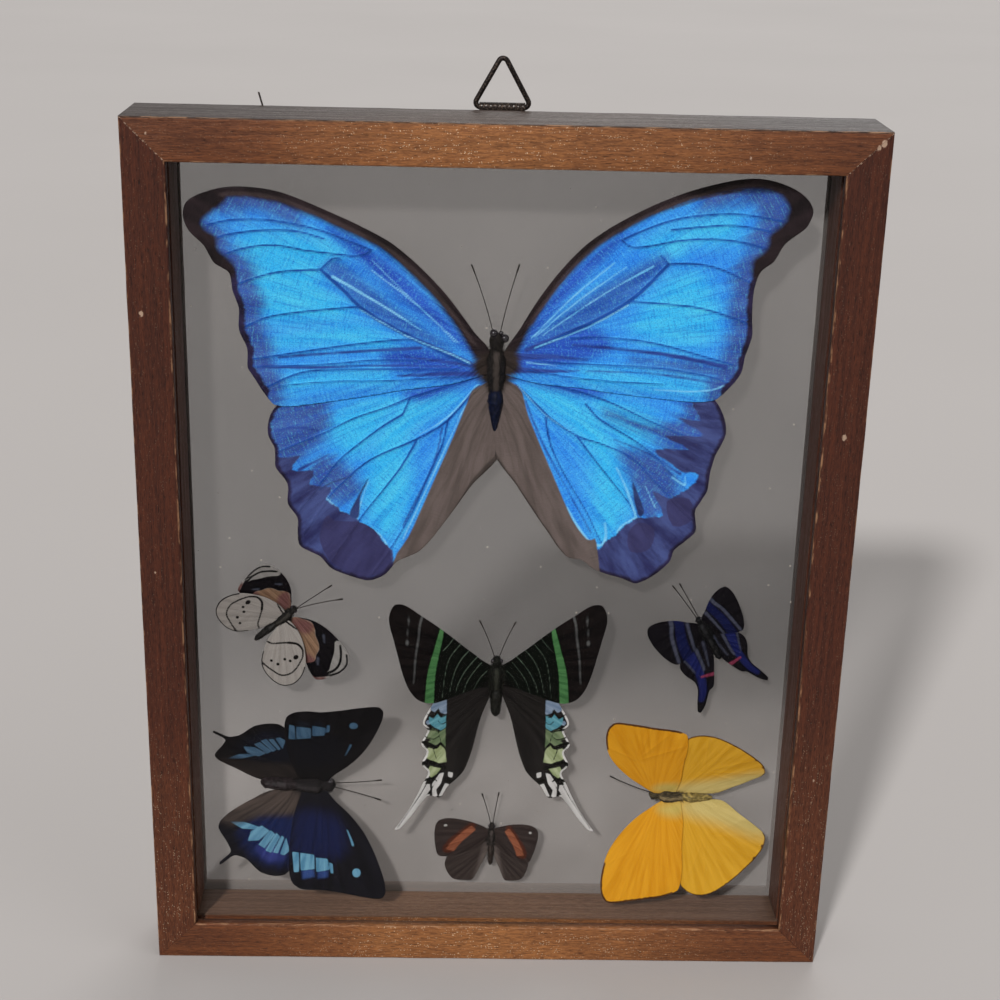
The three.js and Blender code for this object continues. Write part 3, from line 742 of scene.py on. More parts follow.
def body_matrix(insect):
    """From a body's own (u, v, t) in millimetres to the frame's axes in metres."""
    return wing_matrix({**insect, "raise": 0}, 1)


def spike(bm, foot, way, size):
    """One thin hair from its foot along a direction."""
    turn = way.to_track_quat("Z", "Y").to_matrix().to_4x4()
    bmesh.ops.create_cone(bm, cap_ends=True, segments=3, radius1=HAIR, radius2=0.1 * HAIR, depth=size,
                          matrix=Matrix.Translation(foot) @ turn @ Matrix.Translation((0, 0, size / 2)))


def hairs(insect, paint):
    """Hairs that lie back along the thorax and head, and a fringe that lies out over the wings' roots."""
    body = insect["body"]
    size = 0.4 + body["thorax"] * 0.22
    bm = bmesh.new()
    for _ in range(HAIRS):
        v = body["waist"] * random.random() ** 0.8
        angle = random.uniform(-math.pi, math.pi)
        radius = body_radius(body, v) * 0.95
        out = Vector((math.cos(angle), 0, math.sin(angle)))
        foot = Vector((out.x * radius, -v, out.z * radius * TORSO_DEPTH))
        way = out * random.uniform(0.15, 0.5) + Vector((random.uniform(-0.3, 0.3), -1, 0))
        spike(bm, foot, way, random.uniform(0.5, 1.1) * size)
    for _ in range(HAIRS):
        side = random.choice((-1, 1))
        v = body["waist"] * random.uniform(0.2, 1.02)
        radius = body_radius(body, v)
        foot = Vector((side * radius * random.uniform(0.5, 0.95), -v, random.uniform(0.2, 0.9)))
        way = Vector((side, random.uniform(-1.1, 0.15), random.uniform(-0.1, 0.35)))
        spike(bm, foot, way, random.uniform(0.8, 1.9) * size)
    bm.transform(body_matrix(insect))
    piece(f"{insect['name']}_hairs", bm, [paint], "frame", smooth=False)


def eyes(insect, paint):
    """Round glossy eyes on the head: (u, v, radius) each."""
    head = insect["body"]["head"]
    both = [(side * head * 0.72, -head * 0.95, head * 0.52) for side in (-1, 1)]
    bm = bmesh.new()
    for u, v, radius in insect.get("eyes", both):
        spot = Matrix.Translation((u, v, head * 0.35))
        bmesh.ops.create_uvsphere(bm, u_segments=20, v_segments=12, radius=radius, matrix=spot)
    bm.transform(body_matrix(insect))
    piece(f"{insect['name']}_eyes", bm, [paint], "frame")


def antennae(insect, paint):
    """Two thin bowed stalks with a club at each tip."""
    head = insect["body"]["head"]
    bm = bmesh.new()
    for u, v in insect["antennae"]:
        start = Vector((math.copysign(head * 0.3, u), -head * 0.8, 0))
        tip = Vector((u, v, head))
        middle = (start + tip) / 2 + Vector((-u * 0.12, 0, 0))
        line_points = []
        radii = []
        for step in range(15):
            s = step / 14
            line_points.append(start * (1 - s) ** 2 + middle * 2 * s * (1 - s) + tip * s ** 2)
            club = math.exp(-((s - 0.96) / 0.06) ** 2)
            radii.append(STALK + CLUB * club)
        tube(bm, line_points, radii, 6)
    bmesh.ops.recalc_face_normals(bm, faces=bm.faces[:])
    bm.transform(body_matrix(insect))
    piece(f"{insect['name']}_antennae", bm, [paint], "frame")


def fur(name, dark, light, rough=0.8):
    """Hair or horn, mottled in two tones."""
    paint = Paint(name)
    tufts = paint.ease(paint.noise(paint.place(), 1.4, 4), 0.35, 0.65)
    tone = paint.blend(tufts, linear(*dark), linear(*light))
    paint.set(Base_Color=tone, Roughness=rough, Specular_IOR_Level=0.12)
    paint.bump(paint.noise(paint.place(), 5.0, 3), 0.12)
    return paint


def body_skin(insect):
    """A dark furry thorax with a paler line down its middle, and a smoother abdomen."""
    body = insect["body"]
    dark, light, rear = insect["fur"]
    paint = Paint(f"{insect['name']}_skin")
    u, v, _ = paint.axes(paint.attribute("blade", "Vector"))
    tufts = paint.noise(paint.mapped(paint.attribute("blade", "Vector"), (1, 0.4, 1)), 1.8, 4, 0.6)
    ruffle = paint.math("MULTIPLY", tufts, 0.9 * body["thorax"])
    wander = paint.math("ADD", paint.math("ABSOLUTE", u), ruffle)
    stripe = paint.math("MULTIPLY", paint.ease(wander, 0.6 * body["thorax"], 0.8 * body["thorax"], 1, 0),
                        paint.ease(v, -2.6 * body["head"], -2.1 * body["head"], 1, 0))
    between = linear(*[(a + b) / 2 for a, b in zip(dark, light)])
    tone = paint.blend(paint.ease(tufts, 0.35, 0.7), linear(*dark), between)
    tone = paint.blend(stripe, tone, linear(*light))
    behind = paint.ease(v, -body["waist"] - 0.3, -body["waist"] + 0.3, 1, 0)
    rings = paint.ease(tufts, 0.4, 0.7)
    ringed = paint.blend(rings, linear(*rear), linear(*[c * 1.7 + 8 for c in rear]))
    tone = paint.blend(behind, tone, ringed)
    paint.set(Base_Color=tone, Roughness=paint.ease(behind, 0, 1, 0.8, 0.5), Specular_IOR_Level=0.12)
    paint.bump(tufts, 0.15)
    return paint


def glossy_eye(name):
    """A nearly black eye with paler facets."""
    paint = Paint(name)
    facets = paint.ease(paint.cells(paint.place(), 6.0), 0.1, 0.5)
    tone = paint.blend(facets, linear(14, 12, 14), linear(34, 30, 34))
    return paint.set(Base_Color=tone, Roughness=0.22)


# Each insect: x and z of the front of its head, and its heading and its wings' lift in degrees.
# Its body: length, distance from the head to the waist, half widths, and the share of girth at the rear.
# Its antennae's tips, its eyes where they are uneven, and its fur's dark, light and rear colour.
# On each side: how far the wings slip along the body, and (turn in degrees, reach) of each wing.
# roots are the points that a forewing and a hindwing turn about.
INSECTS = [
    {
        "name": "morpho", "x": -1.3, "z": 183.8, "heading": 0, "raise": 4,
        "body": {"length": 27.4, "head": 2, "thorax": 2.7, "waist": 15.3, "abdomen": 2.3, "rear": 0.42},
        "antennae": [(-7, 18.5), (5.4, 18.8)], "fur": ((12, 10, 9), (60, 53, 49), (2, 7, 24)),
        "eyes": [(-0.8, 0, 1.1), (2.1, -1.3, 1.15), (1.1, 0.1, 0.6)],
        "left": {"slip": 0, "fore": (0.5, 1), "hind": (0.4, 1)},
        "right": {"slip": 0, "fore": (0, 1), "hind": (0, 1)},
        "roots": {"fore": (3.4, -4.5), "hind": (3.4, -9.5)},
    },
    {
        "name": "white_dotted", "x": -55.2, "z": 103.8, "heading": 49, "raise": 12,
        "body": {"length": 15.7, "head": 1, "thorax": 1.6, "waist": 7.6, "abdomen": 1.2},
        "antennae": [(1.2, 12.2), (6.3, 11.8)], "fur": ((14, 13, 12), (50, 47, 43), (16, 15, 14)),
        "left": {"slip": 0.8, "fore": (2.3, 0.8), "hind": (0.4, 1)},
        "right": {"slip": -0.2, "fore": (1.4, 1.04), "hind": (0.3, 1.01)},
        "roots": {"fore": (2.4, -2), "hind": (2.2, -3.8)},
    },
    {
        "name": "green_urania", "x": 0.9, "z": 90, "heading": 0, "raise": 9,
        "body": {"length": 18.8, "head": 1.4, "thorax": 2.1, "waist": 9.6, "abdomen": 1.9, "rear": 0.76},
        "antennae": [(-5.1, 11.5), (5, 11.2)], "fur": ((6, 7, 4), (40, 41, 34), (12, 12, 9)),
        "left": {"slip": 0.1, "fore": (0, 1), "hind": (0, 1.01)},
        "right": {"slip": 0.3, "fore": (1.1, 1.01), "hind": (0.4, 1.02)},
        "roots": {"fore": (2.2, -3.8), "hind": (2.2, -8)},
    },
    {
        "name": "tailed_metalmark", "x": 56.7, "z": 102.5, "heading": -30, "raise": 12,
        "body": {"length": 14.7, "head": 0.9, "thorax": 1.5, "waist": 6.8, "abdomen": 1.3, "rear": 0.85},
        "antennae": [(-1.7, 12.3), (0.3, 11.9)], "fur": ((8, 8, 9), (26, 26, 28), (10, 10, 11)),
        "left": {"slip": -0.4, "fore": (3.1, 1.09), "hind": (2.4, 1.08)},
        "right": {"slip": 0, "fore": (4.4, 0.93), "hind": (-2.4, 0.92)},
        "roots": {"fore": (1.6, -1.6), "hind": (1.6, -5.5)},
    },
    {
        "name": "blue_banded", "x": -44.5, "z": 48.6, "heading": 92, "raise": 15,
        "body": {"length": 21.8, "head": 1.8, "thorax": 2.4, "waist": 11.5, "abdomen": 2.1, "rear": 0.85},
        "antennae": [(-3.2, 13.1), (3.3, 13.1)], "fur": ((14, 11, 12), (38, 34, 35), (22, 17, 18)),
        "left": {"slip": -0.3, "fore": (-1.6, 0.97), "hind": (-2.8, 0.9)},
        "right": {"slip": 0.1, "fore": (3.4, 1.08), "hind": (2.7, 1.08)},
        "roots": {"fore": (2.5, -3.8), "hind": (2.5, -8.5)},
    },
    {
        "name": "orange_banded", "x": 0.7, "z": 35.8, "heading": 1, "raise": 9,
        "body": {"length": 14.1, "head": 0.9, "thorax": 1.3, "waist": 6.8, "abdomen": 1.1},
        "antennae": [(-3.3, 10.1), (1.6, 10.6)], "fur": ((20, 16, 14), (56, 49, 46), (30, 24, 21)),
        "left": {"slip": 0.2, "fore": (6.9, 1.08), "hind": (-0.4, 1.08)},
        "right": {"slip": 0.2, "fore": (-3.2, 0.88), "hind": (0.5, 0.89)},
        "roots": {"fore": (1.8, -1.7), "hind": (1.8, -6)},
    },
    {
        "name": "yellow_sulphur", "x": 45.9, "z": 46.7, "heading": -87, "raise": 15,
        "body": {"length": 18.7, "head": 1.3, "thorax": 2, "waist": 9.6, "abdomen": 1.7, "rear": 0.5},
        "antennae": [(5.7, 11.9)], "fur": ((34, 29, 18), (116, 101, 72), (92, 79, 42)),
        "left": {"slip": -0.8, "fore": (-1.9, 1.07), "hind": (-4.4, 1.13)},
        "right": {"slip": 1, "fore": (0.6, 0.91), "hind": (1.7, 0.89)},
        "roots": {"fore": (2.5, -3), "hind": (2.5, -7.5)},
    },
]

# ---------------------------------------------------------------- wing patterns


def fan(root, hub, tips, width=0.3):
    """Veins from the root to a hub, and from there to each tip."""
    return [line([root, hub], width * 1.6, width)] + [line([hub, tip], width, width * 0.6) for tip in tips]


def morpho_patterns():
    """For each wing of the large insect, its veins and marks, with the areas of its painted sheen, painted
    shade and painted shadow.
    """
    fore_left = {
        "veins": [
            line([(33, 21.8), (38, 23.7), (45.5, 26.5), (53, 28.3), (61, 29.3), (69, 29),
                  (74.5, 27.7)], 0.5),
            line([(45, 24.5), (52, 26.4), (60, 26.6), (68, 25.6), (72, 24.6)], 0.5),
            line([(33, 21.8), (35, 20.6), (38, 20.2), (40.5, 20.5), (50, 21.5), (56, 22.6), (61.4, 22.6),
                  (66.7, 21.5), (69.8, 20.4)], 0.5),
            line([(41, 19.3), (43, 19.4), (46, 16.6)], 0.5),
            line([(46, 16.6), (51.3, 16.3), (56.8, 15.8), (62.2, 14.4), (68, 12.2)], 0.6, 0.4),
            line([(46, 16.6), (40.5, 11.6), (36, 7), (29.5, 2.6), (20, -2.2), (13, -6), (6.4, -8.6)], 0.7),
            line([(36, 7), (45.8, 6), (54, 5), (60.3, 3.7), (66, 1)], 0.5),
            line([(20, -2), (24.8, -1.7), (34.7, -2.8), (45.6, -4.4), (64, -7.4)], 0.5),
            line([(21, -7.3), (32, -7.3), (45, -8.6), (63, -9.4)], 0.4),
            line([(10, -9.7), (30, -9.8), (46, -10.2), (53, -11.5), (61, -15.4)], 0.5),
            line([(8, -11.5), (30, -13), (43, -13.2), (57, -14.5)], 0.35),
        ],
        "layers": {
            # slate, deep and crease areas are painted shade; bright, streak and pale are painted sheen.
            "slate": [rim(6.5, (54, 2), (1, 0.1))],
            "bright": [area([(40, 22), (55, 26), (66, 24), (66, 13), (62, 4), (50, 2), (38, 5), (46, 14)]),
                       area([(26, -5), (36, 2), (56, -1), (58, -4), (40, -3)]),
                       line([(30, -12), (44, -12.4), (54, -14)], 3)],
            "deep": [area([(5, -5), (14, 5), (24, 15), (35, 23), (44, 27), (36, 19), (28, 11), (18, 3),
                           (8, -5)]),
                     area([(5, -9), (18, -4), (30, -5), (26, -10), (8, -13)])],
            "cell": [area([(45.5, 16.6), (42, 19.4), (34, 13), (24, 5), (12, -4), (20, -2), (29.5, 2.6),
                           (36, 7), (40.5, 11.6)])],
            "streak": [line([(43, 14.8), (36, 10.8), (28, 6), (20, 0.8)], 0.75, 0.3),
                       line([(33, 19.3), (22, 8.5), (10, -2.5)], 0.34, 0.2),
                       line([(33, 16.6), (20, 6.5), (11, -2.5)], 0.34, 0.2),
                       line([(36, 6.2), (24, -0.6), (12, -5.6), (7, -8)], 0.3, 0.45)],
            "crease": [line([(46, 16.6), (40.5, 11.6), (36, 7), (29.5, 2.6), (20, -2.2),
                             (7, -8)], 0.6, 1.2),
                       line([(61, -9.2), (48, -9.5), (30, -8.8), (12, -9)], 0.9, 0.4),
                       line([(57, -6.8), (44, -5.6), (30, -4.6), (20, -4)], 0.5, 0.9),
                       line([(26, -11.6), (14, -11), (6, -11)], 0.5, 1.6),
                       line([(24, -6.4), (6, -8.6)], 0.4, 1.1)],
            "margin": [rim(1.6, (58, 0), (1, 0.1))],
            "dark": [line([(3.4, -4.5), (8, 3), (16, 13), (27, 23), (35, 27.5), (45, 32), (57, 36.5),
                           (68, 37.5), (75, 36), (79.5, 33.5)], 6.6, 5),
                     area([(66, 38), (69, 35), (70, 33.5), (75.5, 29), (75, 26.7), (72.4, 24.8),
                           (71.8, 21.5), (69.7, 19.4), (67.6, 17.2), (70, 14), (84, 20), (84, 36)])],
            "pale": [rim(2.3, (40, 17), (-0.5, 0.85), 1.3)],
            "hub": [dot((2, -9), 4.4)],
        },
    }
    fore_right = {
        "veins": [
            line([(31.6, 26), (35, 27.7), (40.6, 30.2), (46.2, 32), (54.5, 33.3), (62.5, 33.5),
                  (73, 32)], 0.5),
            line([(44, 29), (51.7, 30), (60, 30.7), (69, 29.5)], 0.5),
            line([(31.6, 26), (33.8, 24.3), (38.2, 24.5), (45.9, 26.2), (54.3, 27), (62.4, 26.4),
                  (69, 24.8)], 0.5),
            line([(41.6, 22.3), (43.8, 20.1)], 0.5),
            line([(43.8, 20.1), (50.8, 20.4), (57.4, 19.2), (66, 15.6)], 0.6, 0.4),
            line([(43.8, 20.1), (39.3, 15), (34.4, 10.2), (27.5, 5.5), (19.3, 1.3), (9.9, -3.6)], 0.7),
            line([(34.4, 10), (43.9, 9.6), (52.3, 8.9), (60.5, 6.8), (66, 4.8)], 0.5),
            line([(19.3, -0.4), (26, 0), (36.2, -0.3), (44.5, -1.6), (53, -3.7), (62, -6)], 0.5),
            line([(10, -7), (26, -7.4), (42, -7.6), (56, -9.4), (61, -11)], 0.45),
            line([(8, -9.4), (24, -11.4), (44, -12)], 0.35),
        ],
        "layers": {
            # slate, deep and crease areas are painted shade; bright, streak and pale are painted sheen.
            "slate": [rim(6, (54, 2), (1, 0.1)),
                      area([(60, 41), (66, 33), (64, 26), (74, 24), (78, 36), (70, 42)]),
                      line([(36, -6), (46, -6.6), (62, -8.6)], 0.8, 3.8)],
            "bright": [area([(38, 25), (52, 32), (60, 33), (60, 27), (50, 26), (46, 22)]),
                       area([(38, 8), (46, 18), (54, 16), (58, 4), (50, -2), (36, 2)]),
                       line([(24, -10.6), (40, -11.4), (54, -12.6)], 3.6)],
            "deep": [area([(5, -4), (14, 11), (24, 22), (33, 28), (24, 17), (14, 5), (8, -4)]),
                     area([(5, -10), (8, -1), (24, 3), (30, -3), (18, -8)])],
            "cell": [area([(43.8, 20.1), (41.6, 22.3), (30, 15.6), (20, 8.6), (10, 0), (8, -3), (19.3, 1.3),
                           (27.5, 5.5), (34.4, 10.2), (39.3, 15)])],
            "streak": [line([(40, 19.4), (28, 12), (12, 0)], 0.4, 0.2),
                       line([(30, 20), (20, 11), (9, -1)], 0.34, 0.2),
                       line([(33, 19), (20, 8.8), (10, -0.6)], 0.3, 0.2),
                       line([(34, 9), (24, 2.8), (10, -3.4)], 0.34), line([(8, -7.4), (16, -8)], 0.4, 0.2),
                       line([(42, -13.5), (50, -13.8), (57, -13), (60, -11.8)], 0.4)],
            "crease": [line([(43.8, 20.1), (39.3, 15), (34.4, 10.2), (27.5, 5.5), (19.3, 1.3),
                             (8, -4)], 0.6, 1.2),
                       line([(20, -2.2), (34, -3), (48, -4.4), (60, -6.6)], 0.5, 1.3),
                       line([(6, -6), (14, -5.6), (24, -6.2)], 2, 0.4),
                       line([(24, -9.2), (40, -9.2), (52, -10.4), (60, -11.6)], 0.3, 0.5),
                       line([(5, -9.6), (14, -9.6), (22, -9.2)], 1.8, 0.3)],
            "margin": [rim(1.4, (58, 0), (1, 0.1))],
            "dark": [line([(3.4, -5), (7.2, 3.6), (14, 14.5), (22.4, 24.3), (32, 31.2), (44.4, 37.5),
                           (57, 41.6), (65.5, 42.7), (73, 41), (77.8, 38)], 4.6, 5),
                     area([(66, 43), (69.5, 39.8), (73, 36.5), (72.8, 32.7), (69.2, 28.7), (68.6, 25.3),
                           (64.8, 20.8), (68, 16), (82, 24), (82, 40)])],
            "pale": [rim(2.2, (40, 21), (-0.5, 0.85), 1.3),
                     line([(44, 34.6), (52, 37.6), (61, 39.8)], 0.5)],
            "hub": [dot((2, -8), 4.6)],
        },
    }
    hind_left = {
        "veins": [
            line([(22.6, -17.7), (29, -20.5), (37.4, -23.5), (44.7, -27.3), (58, -33)], 0.5, 0.3),
            line([(24.5, -22.4), (29.2, -25.3), (36, -30.6), (41.5, -35.5), (47, -42.8),
                  (54, -52)], 0.6, 0.3),
            line([(22.6, -17.7), (24.5, -22.4)], 0.5),
            line([(5, -14.5), (12.5, -24), (20.8, -29.3), (29, -33), (34.7, -36.3), (40.3, -41.6),
                  (43.6, -45.2), (52, -58)], 0.7, 0.3),
            line([(20.8, -29.8), (24.7, -37), (29.7, -44), (35, -51), (44, -65)], 0.6, 0.3),
            line([(12.5, -24), (13.9, -31), (17.7, -40.4), (21.6, -50), (27, -60), (33, -69)], 0.6, 0.3),
            line([(5, -12), (22.6, -17.7)], 0.7, 0.5),
        ],
        "layers": {
            # slate, deep and crease areas are painted shade; bright and streak are painted sheen.
            "slate": [area([(46, -17), (60, -18), (60, -38), (50, -34), (44, -26)]),
                      area([(46, -34), (50, -40), (44, -48), (36, -44), (38, -38)])],
            "bright": [area([(10, -18), (22, -27), (22, -44), (27, -57), (33, -52), (34, -40), (30, -24),
                             (18, -15)]),
                       area([(26, -18), (40, -21), (44, -28), (38, -34), (32, -30)])],
            "deep": [area([(4, -12), (10, -12), (24, -16), (20, -19), (12, -16)])],
            "streak": [line([(36.6, -52.6), (35.4, -47), (33.4, -41)], 0.4, 0.2),
                       line([(49.5, -42.5), (47, -43.8), (41, -49.8), (36.5, -53.3), (31.5, -55.6),
                             (28.5, -59.4), (27.2, -64)], 0.5),
                       line([(5, -14), (12, -22.6), (20, -28)], 0.35, 0.2),
                       line([(8, -20), (24, -58)], 0.3)],
            "crease": [line([(44, -33.5), (47.5, -35.5), (52, -38)], 0.4, 0.9),
                       line([(58, -27), (52, -26), (47, -27)], 0.6),
                       line([(14, -26), (16, -36), (24, -54)], 0.4, 0.5)],
            "dusk": [area([(26.8, -64.8), (27, -61.3), (29, -59), (31.3, -56), (35.7, -53), (37.4, -51.2),
                           (40.3, -50), (42.5, -48), (44.8, -46.4), (43.6, -43), (49.3, -42.2), (48, -38.4),
                           (53.8, -38), (52, -34), (57, -34.7), (64, -30), (62, -60), (44, -74),
                           (26, -72)])],
            "violet": [area([(44.5, -51), (42.5, -52.5), (36.5, -52.8), (33.5, -54), (31.3, -55.8),
                             (30, -58.5), (27.8, -60.5), (27.2, -64.5), (29.5, -67.5), (35, -69), (40, -67),
                             (43.5, -64.5), (46, -60), (46.5, -56)])],
            "slit": [area([(33.5, -40.5), (35, -43), (38.5, -50.3), (36.8, -52), (35.8, -50.5),
                           (35.6, -46)]),
                     line([(46.5, -43.5), (43, -41.5), (38, -39.8)], 0.6, 0.2)],
            "margin": [rim(0.9, (26, -30), (1, -0.4))],
            "fold": [area([(5, -14.5), (7.8, -20), (11, -28.7), (15, -38.7), (18.8, -48.3), (22.6, -57.3),
                           (26.5, -64.8), (24, -76), (-6, -60), (-4, -14)])],
            # A painted shadow: a dark rim along the fold's outer edge.
            "seam": [rim(1.3, (3, -36), (-1, -0.55))],
            "hub": [dot((1.6, -11.4), 3.6)],
        },
    }
    hind_right = {
        "veins": [
            line([(14.5, -22.6), (22, -27.4), (29, -29.5), (37, -33), (42, -38), (54, -50)], 0.6, 0.3),
            line([(22, -27.4), (26.3, -33), (32.3, -40.4), (38.6, -48.5), (46, -62)], 0.6, 0.3),
            line([(13.5, -22.6), (15.2, -30.5), (19.7, -39.5), (25.5, -49), (29.5, -57),
                  (36, -67)], 0.6, 0.3),
            line([(5, -12), (21.5, -15), (31.6, -18.2), (40, -22), (49, -25.6), (60, -29)], 0.7, 0.3),
            line([(24, -18.4), (28.3, -22.8), (37.6, -28.2), (43.6, -32.7), (48.5, -38),
                  (57, -46)], 0.6, 0.3),
            line([(5.7, -14), (14.5, -22.6)], 0.7),
        ],
        "layers": {
            # slate, deep and crease areas are painted shade; bright and streak are painted sheen.
            "slate": [area([(48, -14), (58, -14), (60, -36), (50, -32), (42, -26), (50, -20)]),
                      area([(34, -31), (46, -33), (50, -42), (45, -50), (40, -49), (37, -39)]),
                      line([(30, -21), (42, -25), (56, -28)], 1.6, 5)],
            "bright": [area([(8, -16), (24, -29), (27, -44), (30, -58), (37, -47), (34, -36), (30, -24),
                             (18, -14)]),
                       area([(26, -17), (40, -20), (44, -26), (38, -30), (32, -28)])],
            "deep": [area([(4, -10), (14, -10), (30, -14), (24, -16.4), (12, -14)])],
            "streak": [line([(33, -36), (36, -42), (39, -50)], 0.5, 0.6),
                       line([(41, -41), (44, -47)], 0.25),
                       line([(20, -48), (25.6, -56.6), (29.4, -58.6), (31, -56.4), (30.6, -52)], 0.7),
                       line([(48, -38), (51.5, -40.2), (51.4, -37.6)], 0.5, 0.3), dot((53, -35), 0.7),
                       line([(39, -50), (35.4, -52.4), (34, -54.6)], 0.5),
                       line([(6, -14), (13, -21.6), (20, -26)], 0.35, 0.2)],
            "crease": [line([(8, -18), (14, -32), (27, -55)], 0.5, 0.3),
                       line([(32, -28), (42, -32), (50, -37)], 0.3, 0.8)],
            "dusk": [area([(52, -16), (54.6, -22), (48, -21.5), (56, -26), (45, -26.6), (52, -30),
                           (43, -30.6), (50, -36), (55, -37), (52.5, -41), (47.5, -44), (43, -42),
                           (46, -49), (39.8, -50), (36, -52.5), (33.5, -55.5), (31.4, -57), (29, -59.6),
                           (26, -57.5), (24, -60), (28, -70), (44, -74), (62, -60), (64, -34), (62, -16)])],
            "violet": [area([(39.5, -51.5), (44, -53), (43, -59), (38, -60), (37, -55)]),
                       area([(47, -45), (53, -44), (54, -50), (49, -52)])],
            "slit": [area([(37.2, -39), (41, -48), (39.3, -49)])],
            "margin": [rim(0.9, (26, -30), (1, -0.4))],
            "fold": [area([(5.7, -14), (8.8, -22), (12.6, -31), (16.8, -40.5), (21.8, -51.5), (26, -57),
                           (28.6, -58), (27, -76), (-6, -60), (-4, -14)])],
            # A painted shadow: a dark rim along the fold's outer edge.
            "seam": [rim(0.4, (6, -36), (-1, -0.55))],
            "hub": [dot((1.6, -10.6), 4)],
        },
    }
    return {("fore", "left"): fore_left, ("fore", "right"): fore_right,
            ("hind", "left"): hind_left, ("hind", "right"): hind_right}


def reverse_marks(kind):
    """Where the underside's bands and eyespots lie."""
    bands, eyes = {
        "fore": ([[(30, 24), (36, 10), (30, -2), (24, -12)], [(44, 30), (52, 16), (52, 2), (46, -12)]],
                 [(56, 22, 2.2), (58, 11, 2.8), (55, 0, 3)]),
        "hind": ([[(40, -17), (30, -26), (18, -34)], [(54, -22), (48, -36), (38, -48), (26, -58)]],
                 [(47, -27, 3), (40, -38, 3.2), (31, -46, 3), (24, -52, 2.4)]),
    }[kind]
    return {
        "bands": [line(points, 1.6, 1) for points in bands],
        "ring": [dot((u, v), radius) for u, v, radius in eyes],
        "pupil": [dot((u, v), radius * 0.74) for u, v, radius in eyes],
        "glint": [dot((u, v), radius * 0.16) for u, v, radius in eyes],
    }


